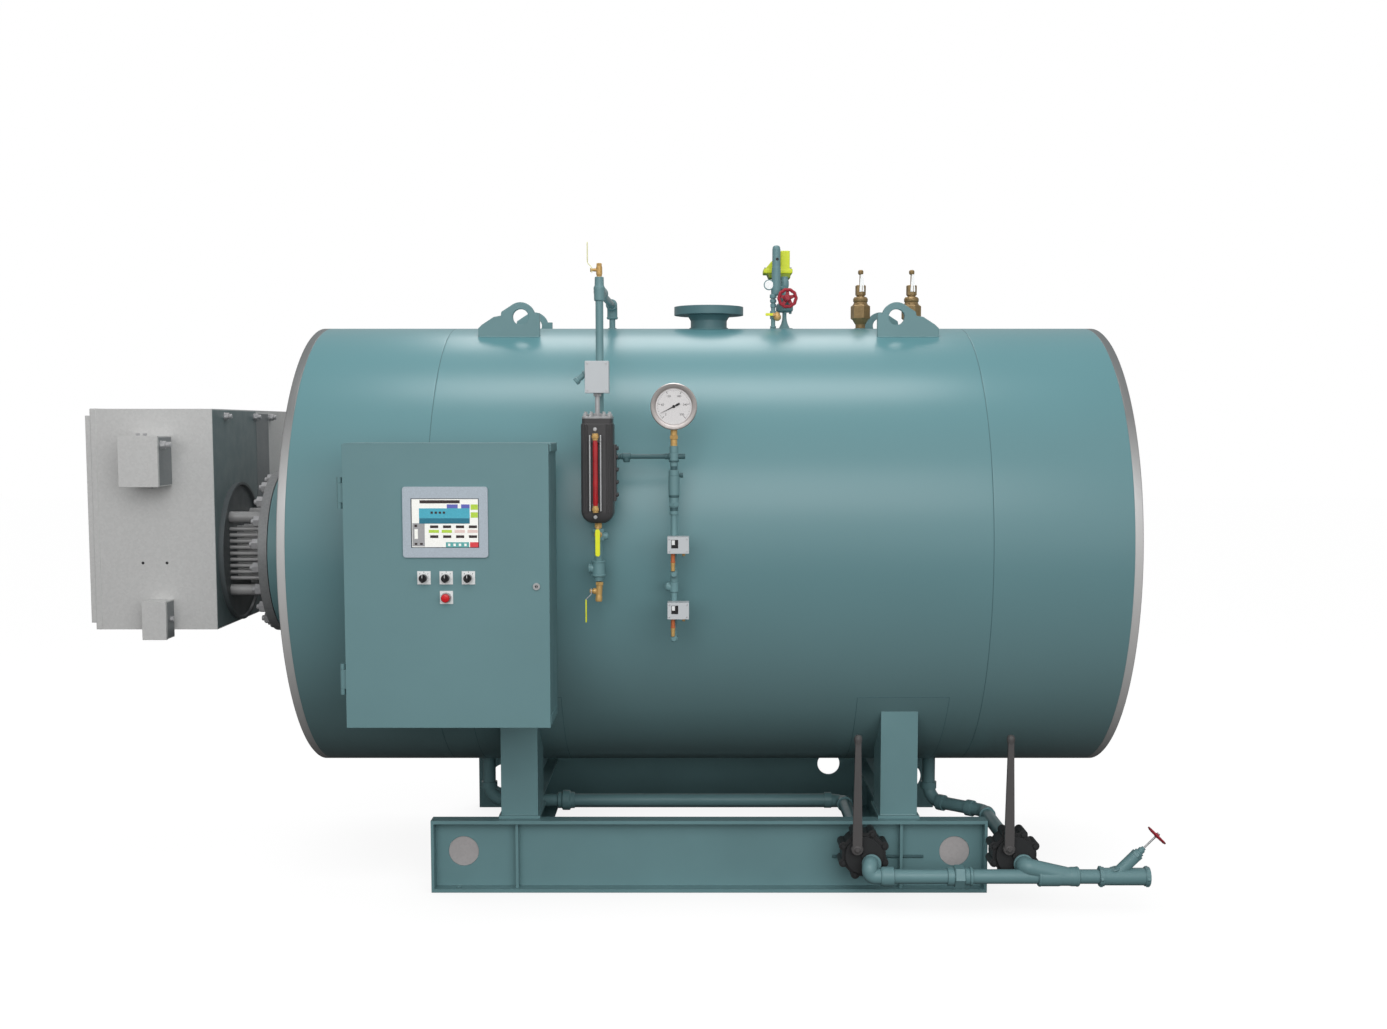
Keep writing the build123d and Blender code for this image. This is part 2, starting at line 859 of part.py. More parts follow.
# Standoffs: a round plate on the terminal box, four posts and the cold ends of the elements
with BuildPart() as heater_standoffs:
    plate_left = (terminal_box_right, 0, heater_z)
    plate_right_x = terminal_box_right + standoff_plate_thickness
    bar(plate_left, (plate_right_x, 0, heater_z), standoff_plate_r)
    for up in (-1, 1):
        for over in (-1, 1):
            post_y = over * standoff_post_spread
            post_z = heater_z + up * standoff_post_spread
            bar((terminal_box_right, post_y, post_z), (flange_left_x, post_y, post_z), standoff_post_r)
    for row in range(element_rows):
        for column in range(element_columns):
            tube_z = heater_z + (row - (element_rows - 1) / 2) * element_pitch
            tube_y = (column - (element_columns - 1) / 2) * element_column_pitch
            if abs(abs(tube_y) - standoff_post_spread) < standoff_post_r + element_tube_r:
                if abs(abs(tube_z - heater_z) - standoff_post_spread) < standoff_post_r + element_tube_r:
                    continue
            bar((terminal_box_right, tube_y, tube_z), (flange_left_x, tube_y, tube_z), element_tube_r)
write(heater_standoffs.part, "heater_standoffs")

# Terminal box and its screwed lid
with BuildPart() as terminal_box:
    block(
        (terminal_box_left, terminal_box_front, terminal_box_bottom),
        (terminal_box_right, terminal_box_back, terminal_box_top),
    )
write(terminal_box.part, "terminal_box")
with BuildPart() as terminal_box_lid:
    block(
        (terminal_box_left - lid_thickness, terminal_box_front + lid_inset, terminal_box_bottom + lid_inset),
        (terminal_box_left, terminal_box_back - lid_inset, terminal_box_top - lid_inset),
    )
write(terminal_box_lid.part, "terminal_box_lid")

# Two small junction boxes on the front of the terminal box
with BuildPart() as junction_boxes:
    block(
        (upper_box_left, terminal_box_front - upper_box_depth, upper_box_bottom),
        (upper_box_right, terminal_box_front, upper_box_top),
    )
    block(
        (lower_box_left, terminal_box_front - lower_box_depth, lower_box_bottom),
        (lower_box_right, terminal_box_front, lower_box_top),
    )
write(junction_boxes.part, "junction_boxes")

# Control cabinet: a sheet box, open in front inside a rim, with the hinge ears and pins
hinge_x = cabinet_left - hinge_offset
hinge_zs = (cabinet_bottom + hinge_inset, cabinet_top - hinge_inset)
ear_start = hinge_barrel_length / 2 + hinge_end_gap
ear_end = ear_start + hinge_ear_length
with BuildPart() as cabinet:
    block((cabinet_left, cabinet_rim_y, cabinet_bottom), (cabinet_right, cabinet_back, cabinet_top))
    block(
        (cabinet_left + cabinet_wall, cabinet_rim_y + cabinet_wall, cabinet_bottom + cabinet_wall),
        (cabinet_right - cabinet_wall, cabinet_back - cabinet_wall, cabinet_top - cabinet_wall),
        mode=Mode.SUBTRACT,
    )
    block(
        (cabinet_left + door_rim, cabinet_rim_y - cut_overrun, cabinet_bottom + door_rim),
        (cabinet_right - door_rim, cabinet_rim_y + cabinet_wall + cut_overrun, cabinet_top - door_rim),
        mode=Mode.SUBTRACT,
    )
    for hinge_z in hinge_zs:
        for up in (-1, 1):
            low = min(hinge_z + up * ear_start, hinge_z + up * ear_end)
            high = low + hinge_ear_length
            foot_y = cabinet_rim_y + cabinet_wall
            bar((hinge_x, door_back, low), (hinge_x, door_back, high), hinge_barrel_r)
            foot_end_y = foot_y + hinge_barrel_r
            block((hinge_x - hinge_pin_r, door_back, low), (hinge_x + hinge_pin_r, foot_end_y, high))
            block((hinge_x - hinge_pin_r, foot_y, low), (cabinet_left, foot_end_y, high))
        bar(
            (hinge_x, door_back, hinge_z - ear_end),
            (hinge_x, door_back, hinge_z + ear_end),
            hinge_pin_r,
        )
write(cabinet.part, "cabinet")

# Door: a shallow pan with the hinge barrels
with BuildPart() as cabinet_door:
    block((cabinet_left, cabinet_front, cabinet_bottom), (cabinet_right, door_back, cabinet_top))
    block(
        (cabinet_left + cabinet_wall, cabinet_front + cabinet_wall, cabinet_bottom + cabinet_wall),
        (cabinet_right - cabinet_wall, door_back + cut_overrun, cabinet_top - cabinet_wall),
        mode=Mode.SUBTRACT,
    )
    for hinge_z in hinge_zs:
        barrel_low = hinge_z - hinge_barrel_length / 2
        block(
            (hinge_x, door_back - hinge_barrel_r, barrel_low),
            (cabinet_left + cabinet_wall, door_back, barrel_low + hinge_barrel_length),
        )
        bar(
            (hinge_x, door_back, barrel_low),
            (hinge_x, door_back, barrel_low + hinge_barrel_length),
            hinge_barrel_r,
        )
        bar(
            (hinge_x, door_back, barrel_low - cut_overrun),
            (hinge_x, door_back, barrel_low + hinge_barrel_length + cut_overrun),
            hinge_pin_r + hinge_clearance,
            mode=Mode.SUBTRACT,
        )
write(cabinet_door.part, "cabinet_door")

# Mounting plate inside the cabinet on four spacers
plate_back_y = cabinet_back - cabinet_wall - mounting_plate_standoff
with BuildPart() as mounting_plate:
    left = cabinet_left + mounting_plate_margin
    right = cabinet_right - mounting_plate_margin
    bottom = cabinet_bottom + mounting_plate_margin
    top = cabinet_top - mounting_plate_margin
    block((left, plate_back_y - mounting_plate_thickness, bottom), (right, plate_back_y, top))
    for spacer_x in (left + mounting_plate_margin, right - mounting_plate_margin):
        for spacer_z in (bottom + mounting_plate_margin, top - mounting_plate_margin):
            spacer_end = (spacer_x, cabinet_back - cabinet_wall, spacer_z)
            bar((spacer_x, plate_back_y, spacer_z), spacer_end, hinge_barrel_r)
write(mounting_plate.part, "mounting_plate")

# Two brackets that carry the cabinet from the vessel's side
with BuildPart() as cabinet_brackets:
    for bracket_x in (cabinet_left + bracket_inset, cabinet_right - bracket_inset - bracket_plate):
        block((bracket_x, cabinet_back, bracket_bottom), (bracket_x + bracket_plate, 0, bracket_top))
    trim_to_vessel()
write(cabinet_brackets.part, "cabinet_brackets")

# Touch panel with a recessed screen
with BuildPart() as touch_panel:
    with BuildSketch(Plane.XZ.offset(-cabinet_front)) as face:
        with Locations((panel_x, panel_z)):
            RectangleRounded(panel_width, panel_height, panel_corner_r)
    extrude(face.sketch, amount=panel_depth)
    screen_y = cabinet_front - panel_depth
    screen_x = panel_x + screen_x_offset
    screen_z = panel_z + screen_z_offset
    block(
        (screen_x - screen_width / 2, screen_y - cut_overrun, screen_z - screen_height / 2),
        (screen_x + screen_width / 2, screen_y + screen_recess, screen_z + screen_height / 2),
        mode=Mode.SUBTRACT,
    )
write(touch_panel.part, "touch_panel")

# Legend plates with the collars of the three selectors
plate_face_y = cabinet_front - switch_plate_thickness
collar_face_y = plate_face_y - switch_collar_length
knob_bore_r = knob_stub_r + hinge_clearance
with BuildPart() as switch_plates:
    for step in (-1, 0, 1):
        centre_x = panel_x + step * switch_pitch
        half = switch_plate_size / 2
        block(
            (centre_x - half, plate_face_y, switch_z - half),
            (centre_x + half, cabinet_front, switch_z + half),
        )
        bar((centre_x, plate_face_y, switch_z), (centre_x, collar_face_y, switch_z), switch_collar_r)
        bar(
            (centre_x, cabinet_front + cut_overrun, switch_z),
            (centre_x, collar_face_y - cut_overrun, switch_z),
            knob_bore_r,
            mode=Mode.SUBTRACT,
        )
write(switch_plates.part, "switch_plates")

# Collar of the stop button and the door's key latch
with BuildPart() as door_fittings:
    stop_collar_face_y = cabinet_front - stop_collar_length
    bar((panel_x, cabinet_front, stop_z), (panel_x, stop_collar_face_y, stop_z), stop_collar_r)
    bar(
        (panel_x, cabinet_front + cut_overrun, stop_z),
        (panel_x, stop_collar_face_y - cut_overrun, stop_z),
        stop_neck_r + hinge_clearance,
        mode=Mode.SUBTRACT,
    )
    bar((latch_x, cabinet_front, latch_z), (latch_x, cabinet_front - latch_length, latch_z), latch_r)
write(door_fittings.part, "door_fittings")

# Three selector knobs: a short cylinder with a raised grip and a spindle in the collar
for number, step in enumerate((-1, 0, 1)):
    centre_x = panel_x + step * switch_pitch
    knob_back_y = collar_face_y - knob_gap
    knob_face_y = knob_back_y - knob_length
    with BuildPart() as selector:
        bar((centre_x, knob_back_y, switch_z), (centre_x, knob_face_y, switch_z), knob_r)
        stub_end = (centre_x, knob_back_y + knob_stub_length, switch_z)
        bar((centre_x, knob_back_y, switch_z), stub_end, knob_stub_r)
        block(
            (centre_x - knob_grip_width / 2, knob_face_y - knob_grip_length, switch_z - knob_r),
            (centre_x + knob_grip_width / 2, knob_face_y, switch_z + knob_r),
        )
    write(selector.part, f"selector_{number + 1}")

# Red stop button: a mushroom head on a neck that slides in the collar
with BuildPart() as stop_button:
    head_back_y = stop_collar_face_y - stop_gap
    bar((panel_x, head_back_y, stop_z), (panel_x, head_back_y - stop_head_length, stop_z), stop_head_r)
    bar((panel_x, head_back_y, stop_z), (panel_x, head_back_y + stop_neck_length, stop_z), stop_neck_r)
    fillet(stop_button.edges().group_by(Axis.Y)[0], radius=stop_head_length / 3)
write(stop_button.part, "stop_button")

# Water column: a square housing, tapered below, with a cap and a flange on top
with BuildPart() as water_column:
    shoulder = Plane(origin=(column_x, column_y, column_shoulder), x_dir=(1, 0, 0), z_dir=(0, 0, 1))
    with BuildSketch(shoulder) as face:
        RectangleRounded(column_width, column_width, column_corner_r)
    extrude(face.sketch, amount=column_top - column_shoulder)
    with BuildSketch(shoulder.offset(column_bottom - column_shoulder)) as foot:
        RectangleRounded(column_width * 2 / 3, column_width * 2 / 3, column_corner_r)
    loft(sections=[foot.sketch, face.sketch])
    cap_low = column_top
    cap_high = column_top + column_cap_height
    inset = column_flange_inset
    half = column_width / 2
    block(
        (column_x - half + inset, column_y - half + inset, cap_low),
        (column_x + half - inset, column_y + half - inset, cap_high),
    )
    block(
        (column_x - half, column_y - half, cap_high),
        (column_x + half, column_y + half, cap_high + column_flange_height),
    )
    side_x = column_x + half
    block(
        (side_x, column_y - side_flange_depth / 2, glass_z - side_flange_height / 2),
        (side_x + side_flange_width, column_y + side_flange_depth / 2, glass_z + side_flange_height / 2),
    )
write(water_column.part, "water_column")

# Gauge glass in front of the column, between two rails and two fittings
column_face_y = column_y - column_width / 2
glass_x = column_x + glass_x_offset
with BuildPart() as gauge_glass_frame:
    for over in (-1, 1):
        rail_x = glass_x + over * glass_rail_spread
        block(
            (rail_x - glass_rail_width / 2, column_face_y - glass_depth, glass_z - glass_rail_half_length),
            (rail_x + glass_rail_width / 2, column_face_y, glass_z + glass_rail_half_length),
        )
    for up in (-1, 1):
        boss_z = glass_z + up * (glass_half_length + glass_boss_height / 2)
        block(
            (glass_x - glass_rail_spread, column_face_y - glass_depth, boss_z - glass_boss_height / 2),
            (glass_x + glass_rail_spread, column_face_y, boss_z + glass_boss_height / 2),
        )
write(gauge_glass_frame.part, "gauge_glass_frame")
with BuildPart() as gauge_glass:
    block(
        (glass_x - glass_r, column_face_y - glass_r, glass_z - glass_half_length),
        (glass_x + glass_r, column_face_y, glass_z + glass_half_length),
    )
write(gauge_glass.part, "gauge_glass")

# Switch box above the column with its conduit
column_flange_top = column_top + column_cap_height + column_flange_height
with BuildPart() as column_switch_box:
    box_mid_y = switch_box_front + switch_box_depth / 2
    block(
        (column_x - switch_box_width / 2, switch_box_front, switch_box_bottom),
        (column_x + switch_box_width / 2, switch_box_front + switch_box_depth, switch_box_top),
    )
    bar((column_x, box_mid_y, column_flange_top), (column_x, box_mid_y, switch_box_bottom), conduit_r)
write(column_switch_box.part, "column_switch_box")

# Piping from the column's top over to the vessel, with its tee and the vent's bushing
with BuildPart() as column_piping:
    corner = (column_pipe_x, column_pipe_y, column_pipe_turn_z)
    bar((column_pipe_x, column_pipe_y, column_flange_top), corner, column_pipe_r)
    turn = (column_pipe_x, vessel_tap_y, column_pipe_turn_z)
    pipe([corner, turn, (column_pipe_x, vessel_tap_y, axis_height)], column_pipe_r, column_pipe_bend)
    turned(
        (column_pipe_x, column_pipe_y, column_pipe_turn_z - tee_height / 2),
        (0, 0, 1),
        [(0, tee_r), (tee_height, tee_r)],
    )
    turned(corner, (0, 1, 0), [(0, tee_r), (tee_height / 2, tee_r)])
    elbow_start = (column_pipe_x, vessel_tap_y - column_pipe_bend - fitting_wall, column_pipe_turn_z)
    collar_r = column_pipe_r + fitting_wall
    turned(elbow_start, (0, 1, 0), [(0, collar_r), (fitting_wall * 3, collar_r)])
    trim_to_vessel()
write(column_piping.part, "column_piping")

# Piping below the column: a nipple, a ball valve, a cross and the pipe back to the vessel
drain_x = column_x
with BuildPart() as drain_piping:
    turned(
        (drain_x, column_y, 0),
        (0, 0, 1),
        [
            (drain_fitting_bottom, tee_r * 2 / 3),
            (drain_pipe_z - tee_r, tee_r * 2 / 3),
            (drain_pipe_z - tee_r, tee_r),
            (drain_pipe_z + tee_r, tee_r),
            (drain_pipe_z + tee_r, column_pipe_r),
            (isolation_z - vent_body_r, column_pipe_r),
            (isolation_z - vent_body_r, vent_body_r + fitting_wall),
            (isolation_z + vent_body_r, vent_body_r + fitting_wall),
            (isolation_z + vent_body_r, vent_r),
            (column_bottom, vent_r),
        ],
    )
    bar((drain_x, column_y, drain_pipe_z), (drain_x, 0, drain_pipe_z), column_pipe_r)
    turned((drain_x, column_y, drain_pipe_z), (0, 1, 0), [(0, tee_r * 2 / 3), (tee_r * 2, tee_r * 2 / 3)])
    cross_r = tee_r * 2 / 3
    turned((drain_x, column_y, drain_pipe_z), (-1, 0, 0), [(0, cross_r), (tee_r * 3 / 2, cross_r)])
    isolation_face_y = column_y - vent_body_r - fitting_wall
    turned(
        (drain_x, column_y, isolation_z),
        (0, -1, 0),
        [(0, lever_hub_r), (vent_body_r + fitting_wall + lever_crank / 2, lever_hub_r)],
    )
    bar(
        (drain_x, column_y - vent_body_r / 2, isolation_z),
        (drain_x, isolation_face_y - lever_crank, isolation_z),
        lever_stem_r + lever_clearance,
        mode=Mode.SUBTRACT,
    )
    trim_to_vessel()
write(drain_piping.part, "drain_piping")

# Brass ball valves: the vent on the tee and the drain below the column
tee_top = column_pipe_turn_z + tee_height / 2
vent_middle = (vent_bottom + vent_top) / 2
drain_middle = (drain_valve_bottom + drain_fitting_bottom) / 2
with BuildPart() as column_cocks:
    turned(
        (column_pipe_x, column_pipe_y, tee_top),
        (0, 0, 1),
        [
            (0, vent_r),
            (vent_bottom + lever_hub_r - tee_top, vent_r),
            (vent_bottom + lever_hub_r - tee_top, vent_body_r),
            (vent_top - lever_hub_r - tee_top, vent_body_r),
            (vent_top - lever_hub_r - tee_top, vent_r),
            (vent_top - tee_top, vent_r),
        ],
    )
    turned(
        (column_pipe_x, column_pipe_y, vent_middle),
        (-1, 0, 0),
        [(0, lever_hub_r), (vent_body_r + lever_crank / 2, lever_hub_r)],
    )
    bar(
        (column_pipe_x - vent_body_r / 2, column_pipe_y, vent_middle),
        (column_pipe_x - vent_body_r - lever_crank, column_pipe_y, vent_middle),
        lever_stem_r + lever_clearance,
        mode=Mode.SUBTRACT,
    )
    turned(
        (drain_x, column_y, 0),
        (0, 0, 1),
        [
            (drain_valve_bottom, vent_r),
            (drain_middle - vent_body_r, vent_r),
            (drain_middle - vent_body_r, vent_body_r),
            (drain_middle + vent_body_r, vent_body_r),
            (drain_middle + vent_body_r, vent_r),
            (drain_fitting_bottom, vent_r),
        ],
    )
    turned(
        (drain_x, column_y, drain_middle),
        (-1, 0, 0),
        [(0, lever_hub_r), (vent_body_r + lever_crank / 2, lever_hub_r)],
    )
    bar(
        (drain_x - vent_body_r / 2, column_y, drain_middle),
        (drain_x - vent_body_r - lever_crank, column_y, drain_middle),
        lever_stem_r + lever_clearance,
        mode=Mode.SUBTRACT,
    )
write(column_cocks.part, "column_cocks")

# Levers of the three ball valves of the column
lever_stand = vent_body_r + lever_crank / 2 + fitting_wall
with BuildPart() as vent_lever:
    cock_lever((column_pipe_x - lever_stand, column_pipe_y, vent_middle), (-1, 0, 0), (0, 0, 1))
write(vent_lever.part, "vent_lever")
with BuildPart() as isolation_lever:
    cock_lever((drain_x, column_y - lever_stand - fitting_wall, isolation_z), (0, -1, 0), (0, 0, -1))
write(isolation_lever.part, "isolation_lever")
with BuildPart() as drain_lever:
    cock_lever((drain_x - lever_stand, column_y, drain_middle), (-1, 0, 0), (0, 0, -1))
write(drain_lever.part, "drain_lever")

# Gauge tree: the cross pipe from the column, the gauge's cross, cock, union and the long drop
with BuildPart() as gauge_manifold:
    tree = (gauge_tree_x, gauge_tree_y, 0)
    bar(
        (column_x + column_width / 2 + side_flange_width, gauge_tree_y, gauge_cross_z),
        (gauge_plug_x, gauge_tree_y, gauge_cross_z),
        gauge_tree_r,
    )
    turned(
        (gauge_tree_x, gauge_tree_y, gauge_cross_z),
        (1, 0, 0),
        [(-gauge_valve_r, gauge_union_r), (gauge_valve_r, gauge_union_r)],
    )
    turned(
        (column_x + column_width, gauge_tree_y, gauge_cross_z),
        (1, 0, 0),
        [(-gauge_valve_r, gauge_valve_r), (gauge_valve_r, gauge_valve_r)],
    )
    turned(
        tree,
        (0, 0, 1),
        [
            (gauge_tree_bottom - gauge_union_r, gauge_union_r),
            (gauge_tree_bottom + gauge_union_r, gauge_union_r),
            (gauge_tree_bottom + gauge_union_r, gauge_tree_r),
            (tree_tap_z - gauge_union_r, gauge_tree_r),
            (tree_tap_z - gauge_union_r, gauge_union_r),
            (tree_tap_z + gauge_union_r, gauge_union_r),
            (tree_tap_z + gauge_union_r, gauge_tree_r),
            (gauge_union_bottom, gauge_tree_r),
            (gauge_union_bottom, gauge_union_r),
            (gauge_union_top, gauge_union_r),
            (gauge_union_top, gauge_tree_r),
            (gauge_valve_bottom, gauge_tree_r),
            (gauge_valve_bottom, gauge_valve_r),
            (gauge_valve_top, gauge_valve_r),
            (gauge_valve_top, gauge_tree_r),
            (gauge_cross_z - gauge_valve_r, gauge_tree_r),
            (gauge_cross_z - gauge_valve_r, gauge_union_r),
            (gauge_cross_z + gauge_union_r * 2, gauge_union_r),
            (gauge_cross_z + gauge_union_r * 2, gauge_tree_r),
            (gauge_z - gauge_r - fitting_wall, gauge_tree_r),
        ],
    )
    switch_mid_y = gauge_tree_y - gauge_tree_r - hinge_clearance - pressure_switch_depth / 2
    for branch_z in (branch_upper_z, branch_lower_z):
        turned(
            (gauge_tree_x, gauge_tree_y, branch_z),
            (0, -1, 0),
            [(0, gauge_tree_r), (gauge_tree_y - switch_mid_y + gauge_tree_r, gauge_tree_r)],
        )
    tap_x = gauge_tree_x - gauge_union_r * 2
    bar((gauge_tree_x, gauge_tree_y, tree_tap_z), (tap_x, gauge_tree_y, tree_tap_z), gauge_tree_r)
    bar((tap_x, gauge_tree_y - gauge_tree_r, tree_tap_z), (tap_x, 0, tree_tap_z), gauge_tree_r)
    trim_to_vessel()
write(gauge_manifold.part, "gauge_manifold")

# Pressure gauge
with BuildPart() as pressure_gauge:
    gauge_front_y = gauge_tree_y - gauge_depth / 2
    turned(
        (gauge_tree_x, gauge_tree_y + gauge_depth / 2, gauge_z),
        (0, -1, 0),
        [(0, gauge_r - gauge_bezel_width), (gauge_bezel_width, gauge_r), (gauge_depth, gauge_r)],
    )
    turned(
        (gauge_tree_x, gauge_front_y - gauge_bezel_height, gauge_z),
        (0, 1, 0),
        [(0, gauge_r), (gauge_bezel_height, gauge_r)],
    )
    bar(
        (gauge_tree_x, gauge_front_y - gauge_bezel_height * 2, gauge_z),
        (gauge_tree_x, gauge_front_y, gauge_z),
        gauge_r - gauge_bezel_width,
        mode=Mode.SUBTRACT,
    )
    socket_low = gauge_z - gauge_r - fitting_wall
    block(
        (gauge_tree_x - gauge_tree_r, gauge_tree_y - gauge_tree_r, socket_low),
        (gauge_tree_x + gauge_tree_r, gauge_tree_y + gauge_tree_r, gauge_z - gauge_r + gauge_bezel_width),
    )
write(pressure_gauge.part, "pressure_gauge")

# Two pressure switches, each on a stem from the branch below it
with BuildPart() as pressure_switches:
    for switch_low, branch_z in (
        (pressure_switch_upper_z, branch_upper_z),
        (pressure_switch_lower_z, branch_lower_z),
    ):
        block(
            (
                pressure_switch_x - pressure_switch_width / 2,
                switch_mid_y - pressure_switch_depth / 2,
                switch_low,
            ),
            (
                pressure_switch_x + pressure_switch_width / 2,
                switch_mid_y + pressure_switch_depth / 2,
                switch_low + pressure_switch_height,
            ),
        )
        bar(
            (pressure_stem_x, switch_mid_y, branch_z + gauge_tree_r + seat_gap),
            (pressure_stem_x, switch_mid_y, switch_low),
            pressure_stem_r,
        )
write(pressure_switches.part, "pressure_switches")

# Steam outlet nozzle
with BuildPart() as steam_outlet:
    turned(
        (steam_x, 0, 0),
        (0, 0, 1),
        [
            (axis_height, steam_neck_r),
            (steam_flange_bottom - fitting_wall * 4, steam_neck_r),
            (steam_flange_bottom, steam_neck_top_r),
            (steam_flange_bottom, steam_flange_r),
            (steam_flange_top, steam_flange_r),
        ],
    )
    trim_to_vessel()
    bore_end = (steam_x, 0, steam_flange_top + cut_overrun)
    bar((steam_x, 0, axis_height), bore_end, steam_bore_r, mode=Mode.SUBTRACT)
    for number in range(steam_bolt_count):
        angle = 2 * pi * (number + 1 / 2) / steam_bolt_count
        hole_x = steam_x + steam_bolt_circle_r * cos(angle)
        hole_y = steam_bolt_circle_r * sin(angle)
        bar(
            (hole_x, hole_y, steam_flange_bottom - cut_overrun),
            (hole_x, hole_y, steam_flange_top + cut_overrun),
            steam_bolt_hole_r,
            mode=Mode.SUBTRACT,
        )
write(steam_outlet.part, "steam_outlet")

# Safety valves: inlet, flared body with a rear outlet, rings and a slotted cap
with BuildPart() as safety_valves:
    for valve_x in safety_xs:
        turned(
            (valve_x, 0, 0),
            (0, 0, 1),
            [
                (axis_height, safety_inlet_r),
                (safety_inlet_top, safety_inlet_r),
                (safety_body_bottom, safety_body_r),
                (safety_body_top, safety_body_r),
                (safety_ring_bottom - fitting_wall, safety_shoulder_r),
                (safety_ring_bottom - fitting_wall, safety_inlet_r),
                (safety_ring_bottom, safety_inlet_r),
                (safety_ring_bottom, safety_ring_r),
                (safety_ring_top, safety_ring_r),
                (safety_ring_top, safety_cap_r - fitting_wall),
                (safety_cap_bottom, safety_cap_r - fitting_wall),
                (safety_cap_bottom, safety_cap_r),
                (safety_cap_top, safety_cap_r),
            ],
        )
        outlet_line = (valve_x, 0, safety_outlet_z)
        turned(outlet_line, (0, 1, 0), [(0, safety_outlet_r), (safety_outlet_length, safety_outlet_r)])
        bar(
            (valve_x, safety_body_r, safety_outlet_z),
            (valve_x, safety_outlet_length + cut_overrun, safety_outlet_z),
            safety_outlet_bore_r,
            mode=Mode.SUBTRACT,
        )
        block(
            (valve_x - safety_cap_r - cut_overrun, -safety_slot_width / 2, safety_blade_bottom),
            (valve_x + safety_cap_r + cut_overrun, safety_slot_width / 2, safety_cap_top + cut_overrun),
            mode=Mode.SUBTRACT,
        )
    trim_to_vessel()
write(safety_valves.part, "safety_valves")

# Test levers of the safety valves, standing in the caps' slots
with BuildPart() as safety_levers:
    for valve_x in safety_xs:
        block(
            (valve_x - safety_blade_width / 2, -safety_blade_thickness / 2, safety_blade_bottom),
            (valve_x + safety_blade_width / 2, safety_blade_thickness / 2, safety_blade_top),
        )
        turned(
            (valve_x, 0, safety_knob_z),
            (0, 0, 1),
            [(-safety_knob_r, safety_knob_r), (safety_knob_r, safety_knob_r)],
        )
write(safety_levers.part, "safety_levers")

# Feed valve: cone, neck, body and bonnet, the upright in front and its thin pipe and cock
with BuildPart() as feed_valve:
    turned(
        (feed_x, 0, 0),
        (0, 0, 1),
        [
            (axis_height, feed_cone_r),
            (feed_cone_top - fitting_wall * 2, feed_cone_r),
            (feed_cone_top, feed_neck_r),
            (feed_body_bottom, feed_neck_r),
            (feed_body_bottom, feed_body_r),
            (feed_body_top, feed_body_r),
            (feed_body_top, feed_flange_r),
            (actuator_base_bottom, feed_flange_r),
        ],
    )
    turned(
        (feed_wheel_x, 0, feed_wheel_z),
        (0, -1, 0),
        [(0, feed_bonnet_r), (feed_body_r + feed_bonnet_length, feed_bonnet_r)],
    )
    bar(
        (feed_wheel_x, -feed_body_r, feed_wheel_z),
        (feed_wheel_x, feed_wheel_y, feed_wheel_z),
        feed_stem_r + lever_clearance,
        mode=Mode.SUBTRACT,
    )
    turned(
        (feed_upright_x, feed_upright_y, 0),
        (0, 0, 1),
        [
            (feed_body_top - feed_upright_r * 2, feed_upright_r),
            (feed_upright_top - feed_upright_r / 2, feed_upright_r),
            (feed_upright_top, feed_upright_r / 2),
        ],
    )
    bar((feed_upright_x, feed_upright_y, feed_link_z), (feed_x, 0, feed_link_z), feed_neck_r)
    bar((feed_pipe_x, feed_upright_y, axis_height), (feed_pipe_x, feed_upright_y, feed_link_z), feed_pipe_r)
    cock_r = feed_pipe_r + fitting_wall
    turned(
        (feed_pipe_x, feed_upright_y, feed_cock_z - cock_r),
        (0, 0, 1),
        [(0, cock_r), (cock_r * 2, cock_r)],
    )
    turned(
        (feed_pipe_x, feed_upright_y, feed_cock_z),
        (0, -1, 0),
        [(0, lever_hub_r), (cock_r + lever_crank / 2, lever_hub_r)],
    )
    bar(
        (feed_pipe_x, feed_upright_y - cock_r / 2, feed_cock_z),
        (feed_pipe_x, feed_upright_y - cock_r - lever_crank, feed_cock_z),
        lever_stem_r + lever_clearance,
        mode=Mode.SUBTRACT,
    )
    bar(
        (feed_dial_x, feed_upright_y, feed_dial_z),
        (feed_upright_x, feed_upright_y, feed_dial_z),
        lever_stem_r,
    )
    turned(
        (feed_dial_x, feed_upright_y, feed_dial_z),
        (0, -1, 0),
        [(-fitting_wall, feed_dial_r), (fitting_wall * 2, feed_dial_r)],
    )
    trim_to_vessel()
write(feed_valve.part, "feed_valve")

# Actuator of the feed valve: a base plate, a block and a sloping cover
with BuildPart() as feed_actuator:
    half = actuator_base_width / 2
    base_x = feed_x - (feed_x - (actuator_block_left + actuator_block_right) / 2) - half / 2
    block(
        (base_x - half, feed_upright_r, actuator_base_bottom),
        (base_x + half, feed_upright_r + actuator_base_depth, actuator_base_top),
    )
    with BuildSketch(Plane.XZ.offset(-feed_upright_r - fitting_wall * 2)) as face:
        with BuildLine():
            Polyline(
                (base_x - half + fitting_wall * 3, actuator_base_top),
                (actuator_block_right, actuator_base_top),
                (actuator_block_right, actuator_top),
                (actuator_block_left, actuator_top),
                (base_x - half + fitting_wall * 5, actuator_base_top + fitting_wall * 5),
                close=True,
            )
        make_face()
    extrude(face.sketch, amount=fitting_wall * 4 - actuator_base_depth)
write(feed_actuator.part, "feed_actuator")

# Red handwheel of the feed valve
with BuildPart() as feed_handwheel:
    handwheel(
        (feed_wheel_x, feed_wheel_y, feed_wheel_z),
        (0, -1, 0),
        feed_wheel_r,
        feed_stem_r,
        stem_engagement + feed_bonnet_r,
    )
write(feed_handwheel.part, "feed_handwheel")

